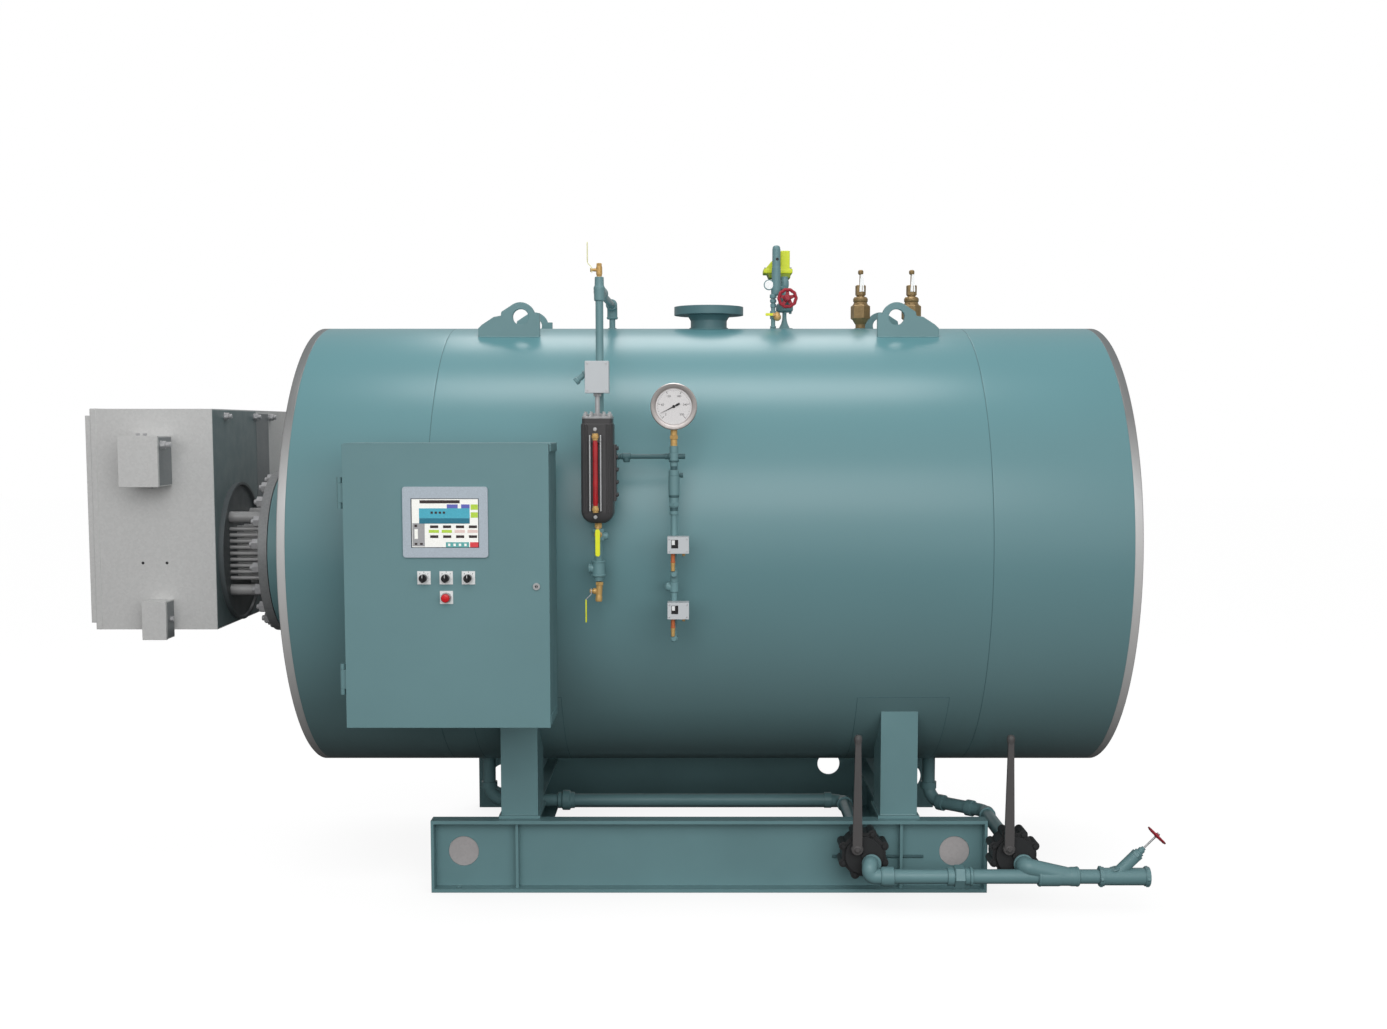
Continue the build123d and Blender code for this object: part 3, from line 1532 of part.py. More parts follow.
# Short lever of the cock on the feed valve's thin pipe
with BuildPart() as feed_cock_lever:
    cock_lever(
        (feed_pipe_x, feed_upright_y - cock_r - lever_crank / 2 - fitting_wall, feed_cock_z),
        (0, -1, 0),
        (-1, 0, 0),
        short_lever_share,
    )
write(feed_cock_lever.part, "feed_cock_lever")


# Short collars on both sides of a pipe bend
def elbow_bands(corner, towards, away):
    for direction in (towards, away):
        unit = Vector(*direction).normalized()
        start = Vector(*corner) + unit * (blowdown_bend - blowdown_elbow_length / 2)
        turned(
            tuple(start),
            tuple(unit),
            [
                (0, blowdown_pipe_r + blowdown_elbow_wall),
                (blowdown_elbow_length, blowdown_pipe_r + blowdown_elbow_wall),
            ],
        )


# Bottom outlets: the left one runs under the vessel to the left blowdown valve,
# the right one steps out past the skid's end to the right valve
with BuildPart() as drop_pipes:
    first = (drop_left_x, 0, blowdown_run_z)
    second = (left_valve_x, 0, blowdown_run_z)
    finish = (left_valve_x, valve_back_y, blowdown_run_z)
    pipe([(drop_left_x, 0, axis_height / 2), first, second, finish], blowdown_pipe_r, blowdown_bend)
    elbow_bands(first, (0, 0, 1), (1, 0, 0))
    elbow_bands(second, (-1, 0, 0), (0, -1, 0))
    first = (drop_right_x, 0, blowdown_run_z)
    second = (right_valve_x, right_turn_y, blowdown_run_z)
    finish = (right_valve_x, valve_back_y, blowdown_run_z)
    pipe([(drop_right_x, 0, axis_height / 2), first, second, finish], blowdown_pipe_r, blowdown_bend)
    run = (right_valve_x - drop_right_x, right_turn_y, 0)
    elbow_bands(first, (0, 0, 1), run)
    elbow_bands(second, (-run[0], -run[1], 0), (0, -1, 0))
    trim_to_vessel()
write(drop_pipes.part, "drop_pipes")

# Blowdown valves with their lobed covers and the shaft bores
valve_front_y = valve_back_y - valve_depth
cover_front_y = valve_front_y - valve_cover_depth
with BuildPart() as blowdown_valves:
    for valve_x in (left_valve_x, right_valve_x):
        centre = (valve_x, valve_back_y, valve_z)
        turned(centre, (0, -1, 0), [(0, valve_r), (valve_depth, valve_r)])
        cover_r = valve_r * valve_cover_share
        turned(centre, (0, -1, 0), [(valve_depth, cover_r), (valve_depth + valve_cover_depth, cover_r)])
        for number in range(valve_lobe_count):
            angle = 2 * pi * (number + 1 / 2) / valve_lobe_count
            lobe_x = valve_x + valve_r * cos(angle)
            lobe_z = valve_z + valve_r * sin(angle)
            bar((lobe_x, valve_back_y, lobe_z), (lobe_x, valve_front_y, lobe_z), valve_lobe_r)
        shaft_x = valve_x + valve_lever_offset
        bar(
            (shaft_x, valve_front_y, valve_pivot_z),
            (shaft_x, cover_front_y - cut_overrun, valve_pivot_z),
            valve_shaft_r + shaft_clearance,
            mode=Mode.SUBTRACT,
        )
        port_x = valve_x + valve_port_offset
        bar(
            (port_x, valve_front_y, port_z),
            (port_x, line_y + elbow_reach + seat_gap, port_z),
            blowdown_pipe_r,
        )
write(blowdown_valves.part, "blowdown_valves")

# Long levers of the blowdown valves, upright when shut
for name, valve_x in (("left", left_valve_x), ("right", right_valve_x)):
    shaft_x = valve_x + valve_lever_offset
    hub_back_y = cover_front_y - lever_face_gap
    with BuildPart() as blowdown_lever:
        turned(
            (shaft_x, hub_back_y, valve_pivot_z),
            (0, -1, 0),
            [(0, valve_hub_r), (valve_hub_depth, valve_hub_r)],
        )
        bar(
            (shaft_x, hub_back_y, valve_pivot_z),
            (shaft_x, hub_back_y + lever_face_gap + valve_cover_depth - shaft_clearance, valve_pivot_z),
            valve_shaft_r,
        )
        arm_y = hub_back_y - valve_hub_depth / 2
        arm_top = (shaft_x, arm_y, valve_lever_top - valve_lever_r)
        bar((shaft_x, arm_y, valve_pivot_z), arm_top, valve_lever_r * 3 / 4)
        turned(
            (shaft_x, arm_y, valve_lever_top - valve_lever_r * 10),
            (0, 0, 1),
            [
                (0, valve_lever_r),
                (valve_lever_r * 9, valve_lever_r),
                (valve_lever_r * 10, valve_lever_r / 2),
            ],
        )
    write(blowdown_lever.part, f"blowdown_lever_{name}")

# Blowdown line along the front: the left elbow drops to the line, the right one joins it in a wye
left_port_x = left_valve_x + valve_port_offset
right_port_x = right_valve_x + valve_port_offset
left_drop_x = left_port_x + port_rise
elbow_r = blowdown_pipe_r + fitting_wall
with BuildPart() as blowdown_line:
    bar((left_drop_x, line_y, line_z), (yvalve_left, line_y, line_z), blowdown_pipe_r)
    left_end = (left_drop_x + elbow_reach, line_y, line_z)
    mouth = (left_port_x, line_y + elbow_reach, port_z)
    pipe([mouth, (left_port_x, line_y, port_z), (left_drop_x, line_y, line_z), left_end], elbow_r, elbow_bend)
    mouth = (right_port_x, line_y + elbow_reach, port_z)
    wye_end = (line_tee_right - line_tee_r, line_y, line_z)
    pipe([mouth, (right_port_x, line_y, port_z), wye_end], elbow_r, elbow_bend)
    for middle, half, radius in (
        (left_end[0], elbow_bead / 2, line_tee_r),
        (line_union_x, line_union_length / 2, line_union_r),
        ((line_tee_left + line_tee_right) / 2, (line_tee_right - line_tee_left) / 2, line_tee_r),
    ):
        turned((middle, line_y, line_z), (1, 0, 0), [(-half, radius), (half, radius)])
    for port_x in (left_port_x, right_port_x):
        mouth = (port_x, line_y + elbow_reach, port_z)
        turned(mouth, (0, -1, 0), [(0, line_tee_r), (elbow_bead / 2, line_tee_r)])
write(blowdown_line.part, "blowdown_line")

# Y valve at the end of the line
slant = (1 / sqrt(2), 0, 1 / sqrt(2))
with BuildPart() as y_valve:
    turned(
        (yvalve_left, line_y, line_z),
        (1, 0, 0),
        [
            (0, yvalve_end_r),
            (fitting_wall * 3, yvalve_end_r),
            (fitting_wall * 3, yvalve_body_r - fitting_wall),
            (yvalve_right - yvalve_left - fitting_wall * 3, yvalve_body_r - fitting_wall),
            (yvalve_right - yvalve_left - fitting_wall * 3, yvalve_end_r),
            (yvalve_right - yvalve_left, yvalve_end_r),
        ],
    )
    turned(
        (yvalve_root_x, line_y, line_z),
        slant,
        [
            (0, yvalve_bonnet_r),
            (yvalve_bonnet_length - fitting_wall * 4, yvalve_bonnet_r),
            (yvalve_bonnet_length - fitting_wall * 4, yvalve_nut_r),
            (yvalve_bonnet_length, yvalve_nut_r),
        ],
    )
    bonnet_tip = Vector(yvalve_root_x, line_y, line_z) + Vector(*slant) * (yvalve_bonnet_length + cut_overrun)
    bonnet_low = bonnet_tip - Vector(*slant) * (stem_engagement + cut_overrun * 2)
    bar(tuple(bonnet_low), tuple(bonnet_tip), yvalve_stem_r + lever_clearance, mode=Mode.SUBTRACT)
    bar(
        (yvalve_right - fitting_wall * 4, line_y, line_z),
        (yvalve_right + cut_overrun, line_y, line_z),
        yvalve_bore_r,
        mode=Mode.SUBTRACT,
    )
write(y_valve.part, "y_valve")

# Red handwheel of the Y valve
wheel_centre = Vector(yvalve_root_x, line_y, line_z) + Vector(*slant) * yvalve_wheel_distance
with BuildPart() as y_handwheel:
    handwheel(
        tuple(wheel_centre),
        slant,
        yvalve_wheel_r,
        yvalve_stem_r,
        yvalve_wheel_distance - yvalve_bonnet_length + stem_engagement,
    )
write(y_handwheel.part, "y_handwheel")
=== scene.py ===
import math
import random

import bmesh
import bpy
from mathutils import Matrix, Vector


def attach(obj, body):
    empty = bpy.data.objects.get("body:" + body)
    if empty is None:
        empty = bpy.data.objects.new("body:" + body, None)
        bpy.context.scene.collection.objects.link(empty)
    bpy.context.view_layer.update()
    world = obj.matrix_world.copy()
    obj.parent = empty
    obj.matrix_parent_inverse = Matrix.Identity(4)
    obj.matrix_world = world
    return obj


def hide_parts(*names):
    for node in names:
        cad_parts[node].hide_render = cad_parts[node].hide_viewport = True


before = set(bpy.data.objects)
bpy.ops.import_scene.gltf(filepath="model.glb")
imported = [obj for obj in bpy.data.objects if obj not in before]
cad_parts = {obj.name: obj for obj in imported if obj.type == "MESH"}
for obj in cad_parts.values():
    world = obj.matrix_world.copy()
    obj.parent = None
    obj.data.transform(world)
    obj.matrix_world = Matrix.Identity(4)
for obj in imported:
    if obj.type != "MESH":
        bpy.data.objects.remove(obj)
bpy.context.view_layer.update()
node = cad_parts
scene = bpy.context.scene
print("boiler: frame loaded with", len(node), "nodes")

# directions as the operator sees them
toRight, toLeft = (1, 0, 0), (-1, 0, 0)
toRear, toFront = (0, 1, 0), (0, -1, 0)
upward, downward = (0, 0, 1), (0, 0, -1)

# camera as in the photograph: a long, slightly raised front view
camera = {"place": (-0.0536, -5.9208, 1.5858), "tilt": 84.96, "lens": 40.96, "shiftY": 0.0376, "reach": 100}
camData = bpy.data.cameras.new("camera")
camData.lens = camera["lens"]
camData.sensor_width = 36
camData.shift_y = camera["shiftY"]
camData.clip_end = camera["reach"]
cam = bpy.data.objects.new("camera", camData)
cam.location = camera["place"]
cam.rotation_euler = (math.radians(camera["tilt"]), 0, 0)
scene.collection.objects.link(cam)
scene.camera = cam
scene.view_settings.view_transform = "Standard"


# materials: each finish is a small node tree on object coordinates

def srgb(r, g, b):
    # a colour as seen on screen, 0 to 255, to the linear value that a node wants
    shares = [v / 255 for v in (r, g, b)]
    return (*(v / 12.92 if v <= 0.04045 else ((v + 0.055) / 1.055) ** 2.4 for v in shares), 1)


def darker(colour, share):
    return tuple(c * share for c in colour[:3]) + (1,)


def newMaterial(name):
    mat = bpy.data.materials.new(name)
    mat.use_nodes = True
    return mat, mat.node_tree, mat.node_tree.nodes["Principled BSDF"]


def addNode(tree, kind, **values):
    # a node with its sockets set; an underscore stands for the space in a socket's name
    made = tree.nodes.new("ShaderNode" + kind)
    for socket, value in values.items():
        made.inputs[socket.replace("_", " ")].default_value = value
    return made


def noiseInto(tree, scale, detail=3, rough=0.55, stretch=None):
    coord = addNode(tree, "TexCoord")
    noise = addNode(tree, "TexNoise", Scale=scale, Detail=detail, Roughness=rough)
    spot = coord.outputs["Object"]
    if stretch:
        mapping = addNode(tree, "Mapping", Scale=stretch)
        tree.links.new(spot, mapping.inputs["Vector"])
        spot = mapping.outputs["Vector"]
    tree.links.new(spot, noise.inputs["Vector"])
    return noise.outputs["Fac"]


def spread(tree, source, low, high):
    # the middle of a noise spread over a range of values
    span = addNode(tree, "MapRange", From_Min=0.3, From_Max=0.7, To_Min=low, To_Max=high)
    tree.links.new(source, span.inputs["Value"])
    return span.outputs["Result"]


def blend(tree, shader, factor, first, second):
    # the base colour wanders between two tones
    mix = tree.nodes.new("ShaderNodeMix")
    mix.data_type = "RGBA"
    mix.inputs["A"].default_value = first
    mix.inputs["B"].default_value = second
    tree.links.new(factor, mix.inputs["Factor"])
    tree.links.new(mix.outputs["Result"], shader.inputs["Base Color"])


def bumpFrom(tree, shader, height, strength, distance, edge=0.0):
    # edge rounds the corners in the light only
    bump = addNode(tree, "Bump", Strength=strength, Distance=distance)
    tree.links.new(height, bump.inputs["Height"])
    if edge:
        soft = addNode(tree, "Bevel", Radius=edge)
        soft.samples = 4
        tree.links.new(soft.outputs["Normal"], bump.inputs["Normal"])
    tree.links.new(bump.outputs["Normal"], shader.inputs["Normal"])


def paint(name, colour, shade=0.86, gloss=0.38, grain=240, peel=0.12, edge=0.0015, coat=0.0):
    # sprayed paint: slow colour drift, fine orange peel, rougher and cleaner patches
    mat, tree, shader = newMaterial(name)
    blend(tree, shader, spread(tree, noiseInto(tree, 2.3, 4), 0, 1), colour, darker(colour, shade))
    patch = spread(tree, noiseInto(tree, 17, 5, 0.6), gloss - 0.05, gloss + 0.08)
    tree.links.new(patch, shader.inputs["Roughness"])
    bumpFrom(tree, shader, noiseInto(tree, grain, 2), peel, 0.0006, edge)
    if coat:
        shader.inputs["Coat Weight"].default_value = coat
        shader.inputs["Coat Roughness"].default_value = 0.18
    return mat


def metal(name, colour, gloss=0.3, shade=0.8, brush=None, grain=90, dent=0.1, edge=0.001, bare=1.0):
    # worked metal: brush stretches its streaks along the working direction; bare is how metallic it looks
    mat, tree, shader = newMaterial(name)
    shader.inputs["Metallic"].default_value = bare
    streak = noiseInto(tree, grain, 4, 0.6, brush)
    blend(tree, shader, spread(tree, streak, 0, 1), colour, darker(colour, shade))
    tree.links.new(spread(tree, streak, gloss - 0.07, gloss + 0.1), shader.inputs["Roughness"])
    bumpFrom(tree, shader, streak, dent, 0.0004, edge)
    return mat


def galvanised(name, colour):
    # zinc spangle: fine crystals in nearly the same grey, with dull clouds
    mat, tree, shader = newMaterial(name)
    shader.inputs["Metallic"].default_value = 0.3
    coord = addNode(tree, "TexCoord")
    cells = addNode(tree, "TexVoronoi", Scale=130, Randomness=1)
    tree.links.new(coord.outputs["Object"], cells.inputs["Vector"])
    grey = addNode(tree, "SeparateColor")
    tree.links.new(cells.outputs["Color"], grey.inputs["Color"])
    blend(tree, shader, grey.outputs["Red"], colour, darker(colour, 0.93))
    cloud = noiseInto(tree, 5, 5, 0.65)
    tree.links.new(spread(tree, cloud, 0.42, 0.56), shader.inputs["Roughness"])
    bumpFrom(tree, shader, cloud, 0.08, 0.003, 0.0015)
    return mat


def moulded(name, colour, gloss=0.4, grain=500, edge=0.0008):
    # plastic and rubber: a fine even grain with paler grains
    mat, tree, shader = newMaterial(name)
    fine = noiseInto(tree, grain, 2)
    pale = tuple(min(1, c * 1.25 + 0.004) for c in colour[:3]) + (1,)
    blend(tree, shader, spread(tree, fine, 0, 1), colour, pale)
    tree.links.new(spread(tree, fine, gloss - 0.04, gloss + 0.06), shader.inputs["Roughness"])
    bumpFrom(tree, shader, fine, 0.1, 0.0003, edge)
    return mat


def glassy(name, colour, rough=0.08):
    # coloured glass seen as a solid glossy column
    mat, tree, shader = newMaterial(name)
    blend(tree, shader, spread(tree, noiseInto(tree, 30, 3), 0, 1), colour, darker(colour, 0.7))
    shader.inputs["Roughness"].default_value = rough
    shader.inputs["Coat Weight"].default_value = 1
    shader.inputs["Coat Roughness"].default_value = 0.03
    return mat


# each finish: how it is made, its colour on screen and what differs from the usual
looks = {
    "tealPaint": (paint, (104, 139, 143), {"coat": 0.15}),
    "steamPaint": (paint, (84, 119, 124), {"coat": 0.1}),
    "tealShade": (paint, (64, 94, 98), {"gloss": 0.5}),
    "seamPaint": (paint, (78, 110, 115), {"gloss": 0.5}),
    "cabinetPaint": (paint, (100, 134, 138), {"shade": 0.93, "gloss": 0.5, "grain": 420, "peel": 0.3,
                                              "edge": 0.002}),
    # painted shade with a painted teal reflection, for the terminal box's big side
    "sidePaint": (paint, (110, 125, 127), {"gloss": 0.42, "grain": 300}),
    "blackPaint": (paint, (65, 64, 65), {"shade": 0.8, "gloss": 0.42, "grain": 160, "peel": 0.35}),
    "castBlack": (paint, (46, 47, 48), {"shade": 0.8, "gloss": 0.5, "grain": 120, "peel": 0.8}),
    "discSteel": (paint, (84, 90, 92), {"shade": 0.85, "gloss": 0.45, "grain": 200, "peel": 0.2}),
    "leverGrey": (paint, (83, 81, 81), {"shade": 0.85, "gloss": 0.45, "grain": 200, "peel": 0.2}),
    "switchGrey": (paint, (186, 190, 193), {"shade": 0.93, "gloss": 0.45, "grain": 420}),
    "valveYellow": (paint, (222, 226, 44), {"shade": 0.9, "gloss": 0.4, "grain": 500}),
    "paleGrip": (paint, (232, 230, 178), {"gloss": 0.4}),
    "actuatorGreen": (paint, (212, 223, 48), {"shade": 0.88, "gloss": 0.35, "grain": 300}),
    "actuatorShade": (paint, (128, 150, 30), {"shade": 0.88, "gloss": 0.4, "grain": 300}),
    "wheelRed": (paint, (160, 40, 54), {"shade": 0.8, "gloss": 0.35, "grain": 300}),
    "zincSheet": (galvanised, (209, 209, 208), {}),
    # zinc darkened as painted shade, for the sides of the boxes that face the vessel
    "dullZinc": (galvanised, (132, 136, 138), {}),
    "coverGrey": (galvanised, (186, 182, 182), {}),
    "brightSteel": (metal, (205, 206, 207), {"gloss": 0.34, "shade": 0.9, "brush": (60, 6, 6), "grain": 60,
                                             "bare": 0.6}),
    "bareSteel": (metal, (172, 173, 174), {"gloss": 0.4, "shade": 0.85, "bare": 0.5}),
    "millSteel": (metal, (110, 111, 112), {"gloss": 0.5, "shade": 0.7}),
    "flangeGrey": (metal, (147, 148, 149), {"gloss": 0.45, "shade": 0.85, "bare": 0.35}),
    "elementSteel": (metal, (176, 176, 176), {"gloss": 0.42, "brush": (30, 160, 160), "grain": 20,
                                              "bare": 0.35}),
    "boltSteel": (metal, (192, 192, 194), {"gloss": 0.36, "shade": 0.85, "bare": 0.5}),
    "gaugeSteel": (metal, (204, 197, 194), {"gloss": 0.34, "shade": 0.9, "grain": 120, "bare": 0.8}),
    "brassMetal": (metal, (212, 172, 108), {"gloss": 0.4, "shade": 0.82, "grain": 70, "bare": 0.35}),
    "agedBrass": (metal, (160, 134, 94), {"gloss": 0.42, "shade": 0.72, "grain": 60, "bare": 0.55}),
    "copperMetal": (metal, (214, 122, 78), {"gloss": 0.38, "shade": 0.85, "grain": 70, "bare": 0.35}),
    "gasketRubber": (moulded, (38, 38, 40), {"gloss": 0.75}),
    "bezelGrey": (moulded, (157, 167, 176), {"gloss": 0.42}),
    "plateWhite": (moulded, (206, 208, 208), {"gloss": 0.45}),
    "dialWhite": (moulded, (196, 194, 194), {"gloss": 0.5}),
    "discWhite": (moulded, (238, 238, 238), {}),
    "knobBlack": (moulded, (30, 30, 32), {"gloss": 0.35}),
    "buttonRed": (moulded, (186, 28, 34), {"gloss": 0.25}),
    "screenDark": (moulded, (40, 50, 58), {"gloss": 0.12}),
    "redGlass": (glassy, (176, 34, 40), {}),
}
# inks of the panel's screen: ground, bars, vessel, its shade, housings, green, grey, pink, teal, red
inks = ((236, 236, 228), (58, 50, 50), (72, 160, 180), (44, 110, 130), (92, 96, 170),
        (170, 200, 70), (150, 150, 152), (214, 190, 184), (92, 160, 158), (204, 66, 72))
for n, tone in enumerate(inks):
    looks[f"screenInk{n}"] = (moulded, tone, {"gloss": 0.2})
finish = {name: make(name, srgb(*tone), **more) for name, (make, tone, more) in looks.items()}
print("boiler: finishes made")


# shaping: every piece is one bmesh, filled by these and then put on its body

def axisFrame(axis):
    # the axis and two directions square to it
    along = Vector(axis).normalized()
    side = Vector(toRear) if abs(along.y) < 0.9 else Vector(toRight)
    side = (side - along * side.dot(along)).normalized()
    return along, side, along.cross(side)


def circle(count, start=0.0):
    # cosine and sine of each step round a full turn; start is a share of one step
    angles = [2 * math.pi * (k + start) / count for k in range(count)]
    return [(math.cos(a), math.sin(a)) for a in angles]


def bridge(bm, loops, mat=0, closed=False, caps=False):
    # skins neighbouring loops; closed joins the last to the first, caps fills both ends
    made = []
    for a, b in zip(loops, loops[1:] + loops[:1] if closed else loops[1:]):
        for k in range(len(a)):
            j = (k + 1) % len(a)
            made.append(bm.faces.new((a[k], a[j], b[j], b[k])))
    if caps:
        made += [bm.faces.new(loops[0][::-1]), bm.faces.new(loops[-1])]
    for face in made:
        face.material_index = mat


def softened(steps, cut):
    # chamfers the corners of a stepped outline, so that its edges catch light
    if not cut:
        return list(steps)
    points = [(steps[0][0], 0.0), *steps, (steps[-1][0], 0.0)]
    out = []
    for i in range(1, len(points) - 1):
        here = Vector(points[i])
        back, ahead = Vector(points[i - 1]) - here, Vector(points[i + 1]) - here
        room = min(cut, back.length * 0.45, ahead.length * 0.45)
        if room < 1e-5 or abs(back.angle(ahead, 0) - math.pi) < 0.2:
            out.append(tuple(here))
        else:
            out += [tuple(here + way.normalized() * room) for way in (back, ahead)]
    return out


def swept(bm, origin, axis, outline, count):
    # (distance along the axis, radius) points taken round it
    along, side, up = axisFrame(axis)
    return [[bm.verts.new(Vector(origin) + along * distance + (side * c + up * s) * radius) for c,
             s in circle(count)]
            for distance, radius in outline]


def turn(bm, origin, axis, steps, count=40, cut=0.0012, mat=0):
    # a turned solid
    bridge(bm, swept(bm, origin, axis, softened(steps, cut), count), mat, caps=True)


def ring(bm, origin, axis, outline, count=64, mat=0):
    # a closed outline turned to a tube, band or rim
    bridge(bm, swept(bm, origin, axis, outline, count), mat, closed=True)


def drum(bm, origin, axis, radius, length, count=24, cut=0.0012, mat=0):
    # one plain cylinder with chamfered ends
    turn(bm, origin, axis, [(0, radius), (length, radius)], count, cut, mat)


def rod(bm, start, end, radius, count=24, cut=0.0, mat=0):
    run = Vector(end) - Vector(start)
    drum(bm, start, run, radius, run.length, count, cut, mat)


def roundEdges(bm, faces, soft, steps, mat):
    if soft:
        edges = list({edge for face in faces for edge in face.edges})
        done = bmesh.ops.bevel(bm, geom=edges, offset=soft, segments=steps, profile=0.5, affect="EDGES",
                               clamp_overlap=True)
        for face in done["faces"]:
            face.material_index = mat


def slab(bm, low, high, soft=0.0015, steps=2, mat=0):
    # a box with rounded edges
    low, high = Vector(low), Vector(high)
    matrix = Matrix.Translation((low + high) / 2) @ Matrix.Diagonal((*(high - low), 1))
    made = bmesh.ops.create_cube(bm, size=1, matrix=matrix)
    faces = list({face for vert in made["verts"] for face in vert.link_faces})
    for face in faces:
        face.material_index = mat
    roundEdges(bm, faces, soft, steps, mat)


def prism(bm, outline, origin, xAxis, yAxis, thickness, soft=0.0015, steps=2, mat=0):
    # a flat outline raised along its normal
    x, y = Vector(xAxis), Vector(yAxis)
    lift = x.cross(y).normalized() * thickness
    base = [Vector(origin) + x * a + y * b for a, b in outline]
    low = [bm.verts.new(p) for p in base]
    high = [bm.verts.new(p + lift) for p in base]
    ends = [bm.faces.new(low[::-1]), bm.faces.new(high)]
    for face in ends:
        face.material_index = mat
    bridge(bm, [low, high], mat)
    roundEdges(bm, ends, soft, steps, mat)


def hexagon(bm, origin, axis, across, height, mat=0, cut=0.0008, turnBy=0.0):
    # a nut or a bolt head, measured across its flats
    side, up = axisFrame(axis)[1:]
    r = across / math.sqrt(3)
    outline = [(r * math.cos(turnBy + math.pi * k / 3),
                r * math.sin(turnBy + math.pi * k / 3)) for k in range(6)]
    prism(bm, outline, origin, side, up, height, cut, 1, mat)


def bolt(bm, origin, axis, across, mat=0):
    # washer and head, standing on a face
    drum(bm, origin, axis, across * 0.62, across * 0.1, 18, 0.0004, mat)
    head = Vector(origin) + Vector(axis).normalized() * across * 0.1
    hexagon(bm, head, axis, across, across * 0.6, mat, 0.0007, 0.3)


def roundedPath(points, bend, perBend=8):
    # straight runs joined by arcs, as a bent or welded pipe has them
    points = [Vector(p) for p in points]
    out = [points[0]]
    for i in range(1, len(points) - 1):
        back, ahead = points[i - 1] - points[i], points[i + 1] - points[i]
        half = back.angle(ahead) / 2
        reach = min(bend / math.tan(half), back.length * 0.499, ahead.length * 0.499)
        radius = reach * math.tan(half)
        first, last = points[i] + back.normalized() * reach, points[i] + ahead.normalized() * reach
        middle = (back.normalized() + ahead.normalized()).normalized()
        centre = points[i] + middle * (radius / math.sin(half))
        a, b = first - centre, last - centre
        sweep = a.angle(b)
        for k in range(perBend + 1):
            t = k / perBend
            out.append(centre + (a * math.sin((1 - t) * sweep) + b * math.sin(t * sweep)) / math.sin(sweep))
    out.append(points[-1])
    return out


def pipe(bm, points, radius, bend=0.05, count=24, mat=0, perBend=8):
    path = roundedPath(points, bend, perBend)
    loops, side = [], None
    for i, point in enumerate(path):
        along = (path[min(i + 1, len(path) - 1)] - path[max(i - 1, 0)]).normalized()
        if side is None:
            side = axisFrame(along)[1]
        side = (side - along * side.dot(along)).normalized()
        up = along.cross(side)
        loops.append([bm.verts.new(point + (side * c + up * s) * radius) for c, s in circle(count)])
    bridge(bm, loops, mat, caps=True)


def socketEnd(bm, at, axis, radius, mat=0, width=0.012):
    # the raised bead at the mouth of a threaded fitting
    half = width / 2
    turn(bm, at, axis, [(-half, radius), (half, radius)], 28, width * 0.25, mat)


def smooth(mesh, sharp):
    # smooth but for the true edges, which are steeper than this many degrees
    mesh.polygons.foreach_set("use_smooth", [True] * len(mesh.polygons))
    mesh.set_sharp_from_angle(angle=math.radians(sharp))


def place(bm, name, coats, stands=None, sharp=32, body="boiler"):
    # the bmesh becomes one piece in its finishes, rides on its body and may stand for a CAD node
    bmesh.ops.recalc_face_normals(bm, faces=bm.faces)
    mesh = bpy.data.meshes.new(name)
    bm.to_mesh(mesh)
    bm.free()
    for coat in [coats] if isinstance(coats, str) else coats:
        mesh.materials.append(finish[coat])
    smooth(mesh, sharp)
    piece = bpy.data.objects.new(name, mesh)
    scene.collection.objects.link(piece)
    flat = piece.modifiers.new("flatFaces", "WEIGHTED_NORMAL")
    flat.keep_sharp = True
    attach(piece, body)
    if stands:
        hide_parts(stands)


def dress(name, coat):
    # a CAD node that is shown as it is, in its finish
    mesh = node[name].data
    mesh.materials.clear()
    mesh.materials.append(finish[coat])
    smooth(mesh, 30)


# vessel: the jacket is rolled sheet in three sections, with lapped seams and bright end bands
vessel = {"radius": 0.8, "axisZ": 1.15, "halfLength": 1.413, "shellR": 0.762, "segments": 224,
          "headRise": 0.09,
          "band": 0.028, "bandEdge": 0.003, "seamX": 0.925, "seamGap": 0.0016, "lip": 0.001}
vesselAxis = (0, 0, vessel["axisZ"])


def toneByHeight(tree, stops):
    # colours from the vessel's foot (0) to its crown (1)
    coord = addNode(tree, "TexCoord")
    split = addNode(tree, "SeparateXYZ")
    tree.links.new(coord.outputs["Object"], split.inputs["Vector"])
    rise = addNode(tree, "MapRange", From_Min=vessel["axisZ"] - vessel["radius"],
                   From_Max=vessel["axisZ"] + vessel["radius"])
    tree.links.new(split.outputs["Z"], rise.inputs["Value"])
    ramp = addNode(tree, "ValToRGB")
    while len(ramp.color_ramp.elements) < len(stops):
        ramp.color_ramp.elements.new(0.5)
    for element, (at, tone) in zip(ramp.color_ramp.elements, stops):
        element.position = at
        element.color = srgb(*tone)
    tree.links.new(rise.outputs["Result"], ramp.inputs["Fac"])
    return ramp.outputs["Color"]


# the jacket's paint has the slow waviness of rolled sheet; its colour by height is painted light, greyer at
# the foot and more saturated at the crown, with a lighter painted band three quarters up
jacketPaintedLight = ((0, (103, 130, 132)), (0.3, (99, 131, 135)), (0.52, (93, 130, 135)), (0.74, (97, 136, 141)),
               (1, (92, 144, 151)))
finish["jacketPaint"], tree, shader = newMaterial("jacketPaint")
worn = addNode(tree, "HueSaturation")
tree.links.new(spread(tree, noiseInto(tree, 1.1), 1.0, 0.96), worn.inputs["Value"])
tree.links.new(toneByHeight(tree, jacketPaintedLight), worn.inputs["Color"])
tree.links.new(worn.outputs["Color"], shader.inputs["Base Color"])
tree.links.new(spread(tree, noiseInto(tree, 1.7, 1, 0.3), 0.28, 0.3), shader.inputs["Roughness"])
bumpFrom(tree, shader, noiseInto(tree, 2.2, 1, 0.3, (1.2, 0.6, 0.6)), 0.05, 0.008)
